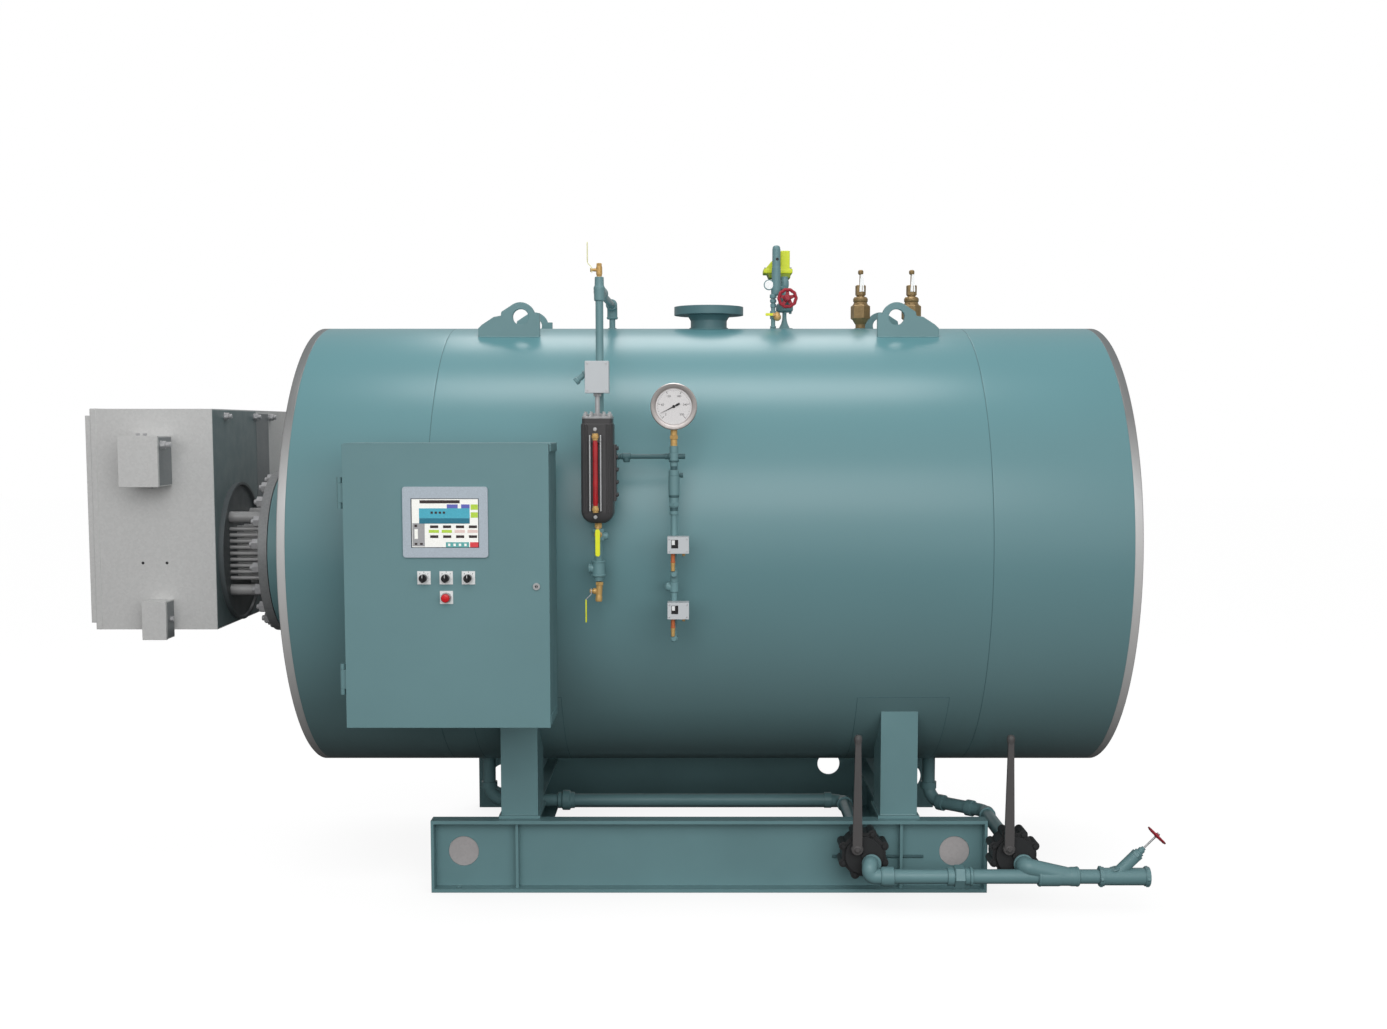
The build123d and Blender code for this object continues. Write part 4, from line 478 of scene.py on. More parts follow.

# the bands are polished; their colour by height is painted reflection and highlight, pale up to the middle and
# darker towards the top
bandPaintedReflection = ((0, (190, 190, 189)), (0.2, (196, 195, 194)), (0.44, (200, 199, 198)), (0.62, (188, 188, 188)),
             (0.8, (126, 127, 127)), (1, (104, 109, 110)))
finish["bandSteel"], tree, shader = newMaterial("bandSteel")
shader.inputs["Metallic"].default_value = 0.3
streak = noiseInto(tree, 40, 4, 0.6, (60, 6, 6))
tree.links.new(toneByHeight(tree, bandPaintedReflection), shader.inputs["Base Color"])
tree.links.new(spread(tree, streak, 0.34, 0.5), shader.inputs["Roughness"])
bumpFrom(tree, shader, streak, 0.1, 0.0004, 0.001)


def jacket(name, left, right, stands):
    # one section of the jacket, turned in a little at its seams
    bm = bmesh.new()
    r, lip = vessel["radius"], vessel["lip"]
    edge = [(0, vessel["shellR"]), (0, r - lip), (lip * 0.4, r - lip * 0.3), (lip, r), (lip * 6, r)]
    outline = [(left + step, height) for step, height in edge]
    outline += [(right - step, height) for step, height in edge[::-1]]
    ring(bm, vesselAxis, toRight, outline, vessel["segments"])
    place(bm, name, "jacketPaint", stands, 50)


bandInner = vessel["halfLength"] - vessel["band"]
seamEdges = (vessel["seamX"] - vessel["seamGap"] / 2, vessel["seamX"] + vessel["seamGap"] / 2)
jacket("jacketLeft", -bandInner, -seamEdges[1], "lagging_left")
jacket("jacketMiddle", -seamEdges[0], seamEdges[0], "lagging_middle")
jacket("jacketRight", seamEdges[1], bandInner, "lagging_right")

bm = bmesh.new()
for end in (-1, 1):
    a, b, lip = end * bandInner, end * vessel["halfLength"], end * vessel["bandEdge"]
    r, low = vessel["radius"], vessel["shellR"]
    outline = [(a, low), (a, r - 0.002), (a + lip, r), (b - lip, r), (b, r - vessel["bandEdge"]), (b, low)]
    ring(bm, vesselAxis, toRight, outline, vessel["segments"])
place(bm, "endBands", "bandSteel", "end_bands", 40)

seam = {"half": 0.001, "under": 0.0006}
bm = bmesh.new()
for end in (-1, 1):
    r = vessel["radius"] - seam["under"]
    outline = [(-seam["half"], vessel["shellR"]), (-seam["half"], r), (seam["half"], r),
               (seam["half"], vessel["shellR"])]
    ring(bm, (end * vessel["seamX"], 0, vessel["axisZ"]), toRight, outline, vessel["segments"])
place(bm, "seamFill", "seamPaint", sharp=40)


def curvedSheet(bm, left, right, first, last, lift, count=24, mat=0):
    # a thin sheet laid on the jacket between two angles, measured from the top towards the front
    profile = ((left, -0.001), (left, lift * 0.6), (left + lift, lift), (right - lift, lift),
               (right, lift * 0.6),
               (right, -0.001))
    rows = []
    for k in range(count + 1):
        a = first + (last - first) * k / count
        y, z = -math.sin(a), math.cos(a)
        heights = [(x, vessel["radius"] + h) for x, h in profile]
        rows.append([bm.verts.new((x, y * h, vessel["axisZ"] + z * h)) for x, h in heights])
    for a, b in zip(rows, rows[1:]):
        for k in range(len(profile) - 1):
            bm.faces.new((a[k], a[k + 1], b[k + 1], b[k])).material_index = mat
    for row in (rows[0], rows[-1]):
        bm.faces.new(row).material_index = mat


# cover sheets over the saddles with dark joints round them, and the riveted lap behind; angles in radians
sheets = {"x": (0.501, 0.812), "top": 0.677, "foot": 2.9, "lift": 0.0005, "joint": 0.0009, "jointTop": 0.001,
          "lap": (-1.62, -1.66), "lapLift": 0.0012, "lapEnd": 0.004, "rivets": 1.64, "rivetStep": 0.12,
          "firstRivet": 0.05}
bm = bmesh.new()
topAngle = math.pi - math.acos((vessel["axisZ"] - sheets["top"]) / vessel["radius"])
for end in (-1, 1):
    for facing in (-1, 1):
        left, right = sorted(end * x for x in sheets["x"])
        first, last, joint = -facing * topAngle, -facing * sheets["foot"], sheets["joint"]
        curvedSheet(bm, left, right, first, last, sheets["lift"])
        curvedSheet(bm, left, right, -facing * (topAngle - sheets["jointTop"]),
                    -facing * (topAngle + sheets["jointTop"]),
                    joint, 2, 1)
        for x in (left, right):
            curvedSheet(bm, x - joint, x + joint, first, last, 0.0008, 24, 1)
gap = sheets["lapEnd"]
for x1, x2 in ((-bandInner + gap, -vessel["seamX"] - gap), (-vessel["seamX"] + gap, vessel["seamX"] - gap),
               (vessel["seamX"] + gap, bandInner - gap)):
    curvedSheet(bm, x1, x2, *sheets["lap"], sheets["lapLift"], 3)
    y, z = math.sin(sheets["rivets"]), math.cos(sheets["rivets"])
    for k in range(int((x2 - x1) / sheets["rivetStep"])):
        x = x1 + sheets["firstRivet"] + k * sheets["rivetStep"]
        r = vessel["radius"] + 0.0008
        turn(bm, (x, y * r, vessel["axisZ"] + z * r), (0, y, z),
             [(0, 0.005), (0.0018, 0.005), (0.0028, 0.003)], 12, 0)
place(bm, "jacketSheets", ["jacketPaint", "seamPaint"], sharp=40)


def dish(name, end, stands):
    # a spherical crown on a short straight edge
    bm = bmesh.new()
    r, rise, edge, rings = vessel["shellR"], vessel["headRise"], vessel["halfLength"], 24
    sphere = (r * r + rise * rise) / (2 * rise)
    steps = [(bandInner, r), (edge, r)]
    for k in range(1, rings):
        h = r * math.cos(math.pi / 2 * k / rings)
        steps.append((edge + rise - sphere + math.sqrt(sphere * sphere - h * h), h))
    steps.append((edge + rise, 0.0005))
    turn(bm, vesselAxis, (end, 0, 0), steps, vessel["segments"], 0)
    place(bm, name, "jacketPaint", stands, 40)


dish("dishLeft", -1, "head_left")
dish("dishRight", 1, "head_right")
dress("vessel_shell", "millSteel")
print("boiler: vessel dressed")

# the nodes that are shown as built, in their finishes
dressed = {
    "tealPaint": ("skid_rail_front", "skid_rail_rear", "cross_members", "saddles", "heater_nozzle",
                  "cabinet_brackets",
                  "drain_piping", "drop_pipes", "y_valve"),
    "steamPaint": ("steam_outlet",),
    "cabinetPaint": ("cabinet", "cabinet_door"),
    "zincSheet": ("mounting_plate", "terminal_box", "junction_boxes"),
    "coverGrey": ("lifting_covers",),
    "gasketRubber": ("heater_gasket",),
    "flangeGrey": ("heater_flange",),
    "elementSteel": ("heater_standoffs",),
    "bezelGrey": ("touch_panel",),
    "plateWhite": ("switch_plates",),
    "brightSteel": ("door_fittings",),
    "knobBlack": ("selector_1", "selector_2", "selector_3"),
    "switchGrey": ("column_switch_box", "pressure_switches"),
    "castBlack": ("blowdown_valves",),
}
for coat, names in dressed.items():
    for name in names:
        dress(name, coat)
print("boiler: nodes dressed")

# heater: bolts with nuts behind round the flange, and the dark cover disc at the box
heater = {"z": 1.125, "face": -1.612, "back": -1.541, "circle": 0.27, "bolts": 20, "across": 0.036,
          "nut": 0.022,
          "stud": 0.01, "disc": 0.2555, "discX": -1.766, "discBore": 0.03, "discDepth": 0.02, "recess": 0.0115}
bm = bmesh.new()
for c, s in circle(heater["bolts"], 0.5):
    y, z = heater["circle"] * c, heater["z"] + heater["circle"] * s
    bolt(bm, (heater["face"], y, z), toLeft, heater["across"])
    drum(bm, (heater["face"] - heater["across"] * 0.68, y, z), toLeft, heater["stud"], 0.012, 16, 0.002)
    hexagon(bm, (heater["back"], y, z), toRight, heater["across"], heater["nut"], 0, 0.0015, 0.2)
    drum(bm, (heater["back"] + heater["nut"], y, z), toRight, heater["stud"], 0.008, 16, 0.002)
place(bm, "heaterBolts", "boltSteel")
bm = bmesh.new()
r, deep, recess = heater["disc"], heater["discDepth"], heater["recess"]
ring(bm, (heater["discX"], 0, heater["z"]), toRight,
     [(0, heater["discBore"]), (0, r), (deep, r + 0.002), (deep, r - 0.008),
     (recess, r - 0.012), (recess, heater["discBore"])], 96)
place(bm, "heaterDisc", "discSteel")

# terminal box: folded edges, lid screws, nuts on its side, vent holes and the glands of the two small boxes
box = {"low": (-2.201, -0.284, 0.862), "high": (-1.766, 0.756, 1.652), "lid": -2.219, "screw": 0.013,
       "inset": 0.045,
       "acrossY": (0.06, 0.236, 0.412), "upZ": (1.05, 1.25, 1.45), "nutY": (-0.134, 0.254, 0.48),
       "nutZ": 1.626,
       "holes": (-2.027, -1.941), "holeZ": 1.102, "stripFrom": 0.275, "stripTo": 0.455, "fold": 0.022}
low, high = Vector(box["low"]), Vector(box["high"])
bm = bmesh.new()
for y in box["nutY"]:
    bolt(bm, (high.x, y, box["nutZ"]), toRight, 0.024)
    drum(bm, (high.x + 0.016, y, box["nutZ"]), toRight, 0.009, 0.012, 16, 0.002)
ends, feet = ((a + box["inset"], b - box["inset"]) for a, b in ((low.y, high.y), (low.z, high.z)))
for y, z in [(y, z) for y in (ends[0], *box["acrossY"],
                              ends[1]) for z in feet] + [(y, z) for z in box["upZ"] for y in ends]:
    bolt(bm, (box["lid"], y, z), toLeft, box["screw"])
# screws and glands of the small boxes: place, direction, size
for at, axis, across in (((-2.0, -0.375, 1.556), upward, 0.014), ((-1.975, -0.375, 1.556), upward, 0.014),
                         ((-1.914, -0.395, 1.525), toRight, 0.026), ((-1.921, -0.325, 0.905), toRight, 0.018),
                         ((-1.965, -0.36, 1.38), downward, 0.014)):
    bolt(bm, at, axis, across)
drum(bm, (-1.896, -0.395, 1.525), toRight, 0.011, 0.018, 16, 0.002)
place(bm, "boxBolts", "boltSteel")

# lids of the small boxes, the lid's folds, then the strip and the sheets on the sides that face the vessel:
# they are darker as painted shade, and the big side sheet's teal tint is a painted reflection of the vessel
bm = bmesh.new()
for x1, x2, y, z1, z2 in ((-2.05, -1.914, -0.434, 1.38, 1.556), (-2.004, -1.921, -0.374, 0.837, 0.971)):
    slab(bm, (x1 - 0.0015, y - 0.0016, z1 - 0.0015), (x2 + 0.0015, y + 0.014, z2 + 0.0015), 0.0012)
fold = low.x + box["fold"]
slab(bm, (low.x + 0.0015, low.y - 0.0012, low.z + 0.0015), (fold, low.y + 0.004, high.z - 0.0015), 0.0008, 1)
slab(bm, (low.x + 0.002, low.y + 0.002, high.z - 0.003), (fold, high.y - 0.002, high.z + 0.0012), 0.0008, 1)
slab(bm, (high.x - 0.002, box["stripFrom"], low.z + 0.03), (high.x + 0.0022, box["stripTo"], high.z - 0.012),
     0.001, 1, 1)
slab(bm, (high.x - 0.002, low.y + 0.004, low.z + 0.004), (high.x + 0.0012, box["stripFrom"], high.z - 0.004),
     0.0008, 1, 2)
slab(bm, (-1.916, -0.418, 1.384), (-1.913, -0.286, 1.552), 0.0008, 1, 1)
slab(bm, (-1.923, -0.358, 0.841), (-1.92, -0.286, 0.967), 0.0008, 1, 1)
place(bm, "boxFolds", ["zincSheet", "dullZinc", "sidePaint"])
# the vent holes are flat dark discs: painted shade inside the holes
bm = bmesh.new()
for x in box["holes"]:
    turn(bm, (x, low.y + 0.001, box["holeZ"]), toFront, [(0, 0.0052), (0.0016, 0.0052), (0.0018, 0.003)], 16,
         0)
place(bm, "boxHoles", "gasketRubber")
bm = bmesh.new()
slab(bm, (box["lid"], low.y + 0.002, low.z + 0.024), (low.x + 0.0005, high.y - 0.002, high.z - 0.024))
place(bm, "boxLid", "zincSheet", "terminal_box_lid")
print("boiler: heater end made")

# cabinet: its drip lip, then the door's panel, plates, marks and latch
door = {"face": -1.075, "panelX": -0.816, "panelZ": 1.296, "panelDepth": 0.008, "screen": (0.209, 0.152),
        "offset": (-0.001, -0.003), "switchZ": 1.124, "pitch": 0.0685, "plate": 0.041, "stopZ": 1.063,
        "latch": (-0.538, 1.097), "tickR": 0.0178, "ticks": (-0.78, 0, 0.78)}
face, panelX = door["face"], door["panelX"]
switchX = [panelX + n * door["pitch"] for n in (-1, 0, 1)]
bm = bmesh.new()
slab(bm, (-0.5, -1.052, 1.51), (-0.4925, -0.835, 1.5365), 0.003, 3)
slab(bm, (-1.133, -1.05, 1.5345), (-0.4935, -0.823, 1.538))
slab(bm, (-0.499, -1.048, 0.662), (-0.496, -0.846, 0.69), 0.001, 1)
place(bm, "cabinetLip", "cabinetPaint")

cx, cz = panelX + door["offset"][0], door["panelZ"] + door["offset"][1]
half, tall = door["screen"][0] / 2, door["screen"][1] / 2
glassY = face - door["panelDepth"] + 0.003
# the screen's fields in shares of its size: left, bottom, right, top, ink, and the lift of those on top
fields = [(0.012, 0.012, 0.988, 0.988, 0, 0.0003), (0.13, 0.9, 0.72, 0.965, 1), (0.12, 0.52, 0.865, 0.8, 2),
          (0.12, 0.49, 0.865, 0.6, 3, 0.0008), (0.53, 0.8, 0.69, 0.88, 4), (0.74, 0.8, 0.865, 0.88, 4),
          (0.88, 0.77, 0.985, 0.88, 5), (0.88, 0.61, 0.985, 0.72, 5), (0.02, 0.03, 0.2, 0.5, 6),
          (0.05, 0.18, 0.1, 0.38, 0, 0.0009), (0.05, 0.42, 0.09, 0.47, 1, 0.0009),
          (0.05, 0.06, 0.09, 0.1, 1, 0.0009),
          (0.13, 0.06, 0.17, 0.1, 1, 0.0009)]
for k in range(4):
    left = k * 0.19
    fields += [(0.29 + k * 0.06, 0.69, 0.325 + k * 0.06, 0.735, 1, 0.0009),
               (0.28 + left, 0.4, 0.4 + left, 0.455, 1),
               (0.26 + left, 0.305, 0.41 + left, 0.365, 5 if k < 2 else 7),
               (0.28 + left, 0.2, 0.4 + left, 0.255, 1)]
fields += [(0.51, 0.01, 0.85, 0.115, 8), (0.865, 0.01, 0.988, 0.115, 9)]
fields += [(0.54 + k * 0.08, 0.035, 0.575 + k * 0.08, 0.085, 0, 0.0009) for k in range(4)]
bm = bmesh.new()
for left, bottom, right, top, ink, *lift in fields:
    x1, x2 = (cx - half + 2 * half * share for share in (left, right))
    z1, z2 = (cz - tall + 2 * tall * share for share in (bottom, top))
    slab(bm, (x1, glassY - (lift or [0.0006])[0], z1), (x2, glassY + 0.0002, z2), 0.00012, 1, ink)
place(bm, "screenLayout", [f"screenInk{n}" for n in range(len(inks))], body="door")
bm = bmesh.new()
slab(bm, (cx - half - 0.001, glassY - 0.0001, cz - tall - 0.001),
     (cx + half + 0.001, glassY + 0.001, cz + tall + 0.001),
     0.0002, 1)
place(bm, "screenGlass", "screenDark", body="door")

bm = bmesh.new()
edge, stopZ = door["plate"] / 2, door["stopZ"]
slab(bm, (panelX - edge, face - 0.003, stopZ - edge), (panelX + edge, face + 0.0005, stopZ + edge), 0.0012)
place(bm, "stopPlate", "plateWhite", body="door")
bm = bmesh.new()
for middle in switchX:
    for a in door["ticks"]:
        x, z = middle + door["tickR"] * math.sin(a), door["switchZ"] + door["tickR"] * math.cos(a)
        slab(bm, (x - 0.0008, face - 0.0034, z - 0.0018), (x + 0.0008, face - 0.0028, z + 0.0018), 0.0001, 1)
x, z = door["latch"]
drum(bm, (x, face - 0.0055, z), toFront, 0.0045, 0.0009, 20, 0.0002)
place(bm, "doorMarks", "knobBlack", body="door")
bm = bmesh.new()
slab(bm, (x - 0.0009, face - 0.0068, z - 0.0035), (x + 0.0009, face - 0.0062, z + 0.0035), 0.0001, 1)
place(bm, "keySlot", "brightSteel", body="door")
for n, x in enumerate(switchX, 1):
    bm = bmesh.new()
    low, high = (x - 0.0009, face - 0.0402, door["switchZ"] + 0.002), (x + 0.0009, face - 0.0378,
                                                                       door["switchZ"] + 0.0112)
    slab(bm, low, high, 0.0003, 1)
    place(bm, f"knobMark{n}", "plateWhite", body=f"selector_{n}")
# the stop button's mushroom cap, with its stem behind
cap = [(-0.0165, 0.008), (-0.012, 0.008), (-0.011, 0.0132), (0.001, 0.0135), (0.004, 0.0118), (0.0058, 0.0075),
       (0.0065, 0.003)]
bm = bmesh.new()
turn(bm, (panelX, face - 0.0275, stopZ), toFront, cap, 40, 0)
place(bm, "stopCap", "buttonRed", "stop_button", body="stop_button")
print("boiler: cabinet made")


def tower(bm, x, y, sections, perCorner=5):
    # an upright housing of rounded rectangles: (height, half width, half depth, corner radius) from below
    loops = []
    for z, halfX, halfY, r in sections:
        loop = []
        for sx, sy, start in ((1, 1, 0), (-1, 1, 90), (-1, -1, 180), (1, -1, 270)):
            for k in range(perCorner):
                a = math.radians(start + 90 * k / (perCorner - 1))
                loop.append(bm.verts.new((x + sx * (halfX - r) + r * math.cos(a),
                                          y + sy * (halfY - r) + r * math.sin(a), z)))
        loops.append(loop)
    bridge(bm, loops, caps=True)


def strap(bm, points, across, width, thickness, mat=0):
    # a flat bar bent along a path, narrower at its two ends
    side = Vector(across).normalized() * width / 2
    points = [Vector(p) for p in points]
    loops = []
    for i, point in enumerate(points):
        ahead = (points[min(i + 1, len(points) - 1)] - points[max(i - 1, 0)]).normalized()
        lift = ahead.cross(side).normalized() * thickness / 2
        w = side * (0.6 if i in (0, len(points) - 1) else 1)
        offsets = (w + lift, w * 1.04, w - lift, -w - lift, w * -1.04, lift - w)
        loops.append([bm.verts.new(point + offset) for offset in offsets])
    bridge(bm, loops, mat, caps=True)


def weld(bm, points, radius=0.004, closed=False):
    # a bead of overlapping ripples along a joint
    path = [Vector(p) for p in points]
    if closed:
        path.append(path[0])
    spots = []
    for a, b in zip(path, path[1:]):
        steps = max(1, int((b - a).length / (radius * 1.3)))
        spots += [(a.lerp(b, k / steps), (b - a).normalized()) for k in range(steps)]
    loops = []
    for count, (point, along) in enumerate(spots):
        side, up = axisFrame(along)[1:]
        r = radius * (1.0 if count % 2 else 0.82) * random.uniform(0.93, 1.07)
        loops.append([bm.verts.new(point + (side * c + up * s) * r) for c, s in circle(6)])
    bridge(bm, loops, closed=closed)


def neckWeld(bm, x, y, r, count, radius):
    # the weld where an upright neck meets the jacket
    ringXY = [(x + r * c, y + r * s) for c, s in circle(count)]
    points = [(px, py, vessel["axisZ"] + math.sqrt(vessel["radius"] ** 2 - py * py)) for px, py in ringXY]
    weld(bm, points, radius, True)


random.seed(11)
# water column: tapered black housing, grey bolted flange, red glass between bright rails with brass ends
column = {"x": -0.358, "y": -0.88, "glassX": -0.363, "glassZ": 1.442, "glassHalf": 0.105, "face": -0.93,
          "rail": 0.017,
          "ribs": (0.03, 0.0365, 0.043), "sideNuts": (1.372, 1.412, 1.452, 1.492, 1.52),
          "blocks": (1.337, 1.547)}
cx, cy, front, glassX = column["x"], column["y"], column["face"], column["glassX"]
bm = bmesh.new()
tower(bm, cx, cy, [(1.283, 0.025, 0.026, 0.01), (1.285, 0.029, 0.03, 0.011), (1.291, 0.0375, 0.038, 0.012),
                   (1.299, 0.045, 0.0445, 0.012), (1.31, 0.05, 0.0485, 0.013), (1.322, 0.0515, 0.05, 0.013),
                   (1.594, 0.0515, 0.05, 0.013), (1.598, 0.0495, 0.049, 0.011), (1.5985, 0.048, 0.048, 0.012),
                   (1.6135, 0.048, 0.048, 0.012)])
for side in (-1, 1):
    for rib in column["ribs"]:
        x = cx + side * rib
        slab(bm, (x - 0.0016, front - 0.0022, 1.315), (x + 0.0016, front + 0.003, 1.596), 0.001, 1)
slab(bm, (cx + 0.0495, cy - 0.035, 1.352), (cx + 0.059, cy + 0.035, 1.532), 0.002)
for z in column["sideNuts"]:
    for y in (-0.026, 0.026):
        hexagon(bm, (cx + 0.0588, cy + y, z), toRight, 0.012, 0.006)
for z in column["blocks"]:
    slab(bm, (glassX - 0.0135, front - 0.013, z - 0.01), (glassX + 0.0135, front + 0.001, z + 0.01), 0.003)
place(bm, "waterColumn", "blackPaint", "water_column")
bm = bmesh.new()
tower(bm, cx, cy, [(1.613, 0.047, 0.047, 0.012), (1.614, 0.0485, 0.0485, 0.013),
                   (1.6205, 0.0485, 0.0485, 0.013),
                   (1.6215, 0.0475, 0.0475, 0.012)])
place(bm, "columnFlange", "bareSteel")
bm = bmesh.new()
for x in (-0.038, -0.02, 0.02, 0.038):
    for y in (-0.036, 0.036):
        bolt(bm, (cx + x, cy + y, 1.621), upward, 0.012)
        drum(bm, (cx + x, cy + y, 1.628), upward, 0.003, 0.008, 10, 0)
for z in (1.58, 1.303):
    turn(bm, (glassX - 0.001, front + 0.001, z), toFront, [(0, 0.0062), (0.004, 0.0062), (0.0052, 0.0045)],
         20, 0)
for side in (-1, 1):
    x = glassX + side * column["rail"]
    slab(bm, (x - 0.0022, front - 0.016, 1.322), (x + 0.0022, front + 0.001, 1.562), 0.0009)
    for z in (1.34, column["glassZ"], 1.544):
        hexagon(bm, (x, front - 0.0158, z), toFront, 0.005, 0.002)
place(bm, "glassRails", "brightSteel", "gauge_glass_frame")
bm = bmesh.new()
for z in (column["glassZ"] - column["glassHalf"] - 0.02, column["glassZ"] + column["glassHalf"] - 0.002):
    steps = [(0, 0.0095), (0.006, 0.0095), (0.006, 0.0112), (0.016, 0.0112), (0.016, 0.0095), (0.022, 0.0095)]
    turn(bm, (glassX, front - 0.0085, z), upward, steps, 24, 0.0008)
    hexagon(bm, (glassX, front - 0.0085, z + 0.007), upward, 0.021, 0.008)
place(bm, "glassFittings", "brassMetal")
bm = bmesh.new()
drum(bm, (glassX, front - 0.008, 1.338), upward, 0.0085, 0.208, 28, 0.0005)
place(bm, "glassTube", "redGlass", "gauge_glass")

# switch box above the column: lid with four screws, nipple with its nuts and the slanting stub
switch = {"y": -0.896, "face": -0.9262, "half": 0.0378, "low": 1.6935, "high": 1.7945,
          "screws": (0.029, 1.702, 1.786),
          "slope": (-0.763, 0, -0.646), "stubY": -0.895}
bm = bmesh.new()
for x in (-switch["screws"][0], switch["screws"][0]):
    for z in switch["screws"][1:]:
        turn(bm, (cx + x, switch["face"] + 0.0014, z), toFront,
             [(0, 0.0032), (0.0016, 0.0032), (0.0022, 0.002)], 14, 0)
hexagon(bm, (cx, switch["y"], 1.621), upward, 0.024, 0.01)
hexagon(bm, (cx, switch["y"], 1.684), upward, 0.024, 0.0105)
drum(bm, (cx, switch["y"], 1.621), upward, 0.0078, 0.0715, 24, 0)
place(bm, "switchBoxBits", "boltSteel")
bm = bmesh.new()
slab(bm, (cx - switch["half"], switch["face"], switch["low"]), (cx + switch["half"], -0.9095, switch["high"]),
     0.0022, 3)
place(bm, "switchBoxLid", "switchGrey")
bm = bmesh.new()
y = switch["stubY"]
pipe(bm, [(cx - 0.03, y, 1.762), (cx - 0.069, y, 1.729)], 0.0088, 0.01, 20)
drum(bm, (cx - 0.06, y, 1.7366), switch["slope"], 0.0118, 0.012, 20, 0.0015)
drum(bm, (cx - 0.037, y, 1.7561), switch["slope"], 0.0125, 0.006, 20, 0.0015)
place(bm, "switchBoxStub", "tealPaint")

# the column's pipes: up from the flange, back over the jacket and down into it; below it the drain cross
pipes = {"x": -0.353, "y": -0.848, "riser": 0.0125, "crossZ": 2.016, "backY": -0.042, "backZ": 2.033,
         "drainZ": 1.136,
         "cockZ": 2.084, "drainCockZ": 1.0625, "isolationZ": 1.245}
px, py, back = pipes["x"], pipes["y"], pipes["backY"]
bm = bmesh.new()
rod(bm, (px, py, 1.6215), (px, py, 1.99), pipes["riser"], 28)
turn(bm, (px, py, 1.986), upward, [(0, 0.0155), (0.004, 0.017), (0.03, 0.017), (0.036, 0.0182),
                                   (0.044, 0.0182),
                                   (0.048, 0.015), (0.076, 0.0142)], 32, 0.0015)
turn(bm, (px, py, pipes["crossZ"]), (0, 1, 0.02),
     [(0, 0.0165), (0.02, 0.0195), (0.085, 0.0205), (0.092, 0.0225),
                                                   (0.112, 0.0225), (0.116, 0.015)], 32, 0.0015)
rod(bm, (px, py, pipes["crossZ"]), (px, -0.06, pipes["backZ"]), pipes["riser"], 28)
pipe(bm, [(px, -0.105, 2.0315), (px, back, pipes["backZ"]), (px, back, 1.985)], 0.0188, 0.021, 28)
socketEnd(bm, (px, -0.098, 2.0316), toRear, 0.0208)
socketEnd(bm, (px, back, 1.988), upward, 0.0206, 0, 0.01)
rod(bm, (px, back, 1.99), (px, back, 1.94), 0.011)
for z in (1.158, 1.114):
    socketEnd(bm, (cx, cy, z), upward, 0.0232, 0, 0.008)
socketEnd(bm, (cx, cy + 0.038, pipes["drainZ"]), toRear, 0.017, 0, 0.01)
socketEnd(bm, (cx - 0.029, cy, pipes["drainZ"]), toRight, 0.0165, 0, 0.006)
for z in (1.226, 1.253):
    hexagon(bm, (cx, cy, z), upward, 0.036, 0.011)
turn(bm, (cx, cy, 1.096), upward, [(0, 0.0115), (0.006, 0.0155), (0.014, 0.0155)], 24, 0.001)
turn(bm, (cx + 0.014, cy, 1.24), toRight, [(0, 0.012), (0.012, 0.014), (0.018, 0.01)], 20, 0.0015)
neckWeld(bm, px, -0.04, 0.0135, 20, 0.003)
place(bm, "columnFittings", "tealPaint", "column_piping")

# the three cocks: on the cross above, under the column and at the drain
bm = bmesh.new()
hexagon(bm, (cx, cy, 1.266), upward, 0.022, 0.016)
drum(bm, (cx, cy, 1.262), upward, 0.01, 0.0212, 20, 0.0006)
turn(bm, (px, py, 2.058), upward, [(0, 0.008), (0.01, 0.008), (0.012, 0.01), (0.034, 0.0098), (0.04, 0.008),
                                   (0.047, 0.0078)], 28, 0.001)
hexagon(bm, (px, py, 2.066), upward, 0.0175, 0.008)
hexagon(bm, (px, py, 2.0955), upward, 0.0165, 0.009)
turn(bm, (px, py, pipes["cockZ"]), toLeft, [(0.006, 0.006), (0.018, 0.0048), (0.022, 0.0048)], 20, 0.0006)
turn(bm, (cx, cy, 1.029), (0.05, 0, 1), [(0, 0.01), (0.006, 0.0112), (0.016, 0.0108), (0.02, 0.0098),
                                         (0.052, 0.0105),
                                         (0.064, 0.0105)], 28, 0.001)
hexagon(bm, (cx + 0.003, cy, 1.082), upward, 0.023, 0.01)
turn(bm, (cx, cy, pipes["drainCockZ"]), toLeft,
     [(0.006, 0.0098), (0.017, 0.0098), (0.018, 0.0065), (0.022, 0.0065)],
     20, 0.0008)
turn(bm, (cx, cy, pipes["isolationZ"]), toFront, [(0, 0.013), (0.016, 0.013), (0.019, 0.01)], 24, 0.001)
hexagon(bm, (cx, cy - 0.019, pipes["isolationZ"]), toFront, 0.018, 0.005)
place(bm, "columnBrass", "brassMetal", "column_cocks")


def leverPiece(name, body, stem, out, arm, length, crank=0.014, width=0.014, grip=0.3, tail=0.008,
               sleeve=0.005,
               coats=("boltSteel", "valveYellow", "brassMetal")):
    # a cock's lever: a cranked strap, the coloured sleeve over its outer part and a nut on its stem
    stem, out, arm = Vector(stem), Vector(out), Vector(arm)
    across, outer = out.cross(arm), out * (crank + 0.0015)
    bm = bmesh.new()
    strap(bm, [stem - arm * tail + out * 0.0015, stem + arm * crank * 0.5 + out * 0.0015,
               stem + arm * crank * 0.9 + out * crank * 0.4, stem + arm * crank * 1.4 + out * crank * 0.95,
               stem + arm * crank * 1.7 + outer, stem + arm * length + outer], across, width * 0.86, 0.0026)
    first, last = stem + arm * length * grip + outer, stem + arm * (length + 0.0012) + outer
    strap(bm, [first.lerp(last, share) for share in (0, 0.06, 0.5, 0.94, 1)], across, width * 1.06, sleeve, 1)
    drum(bm, stem - out * 0.014, out, 0.0038, 0.02, 16, 0.0006, 2)
    hexagon(bm, stem + out * 0.0028, out, 0.0125, 0.0036, 2)
    place(bm, name, coats, body, body=body)


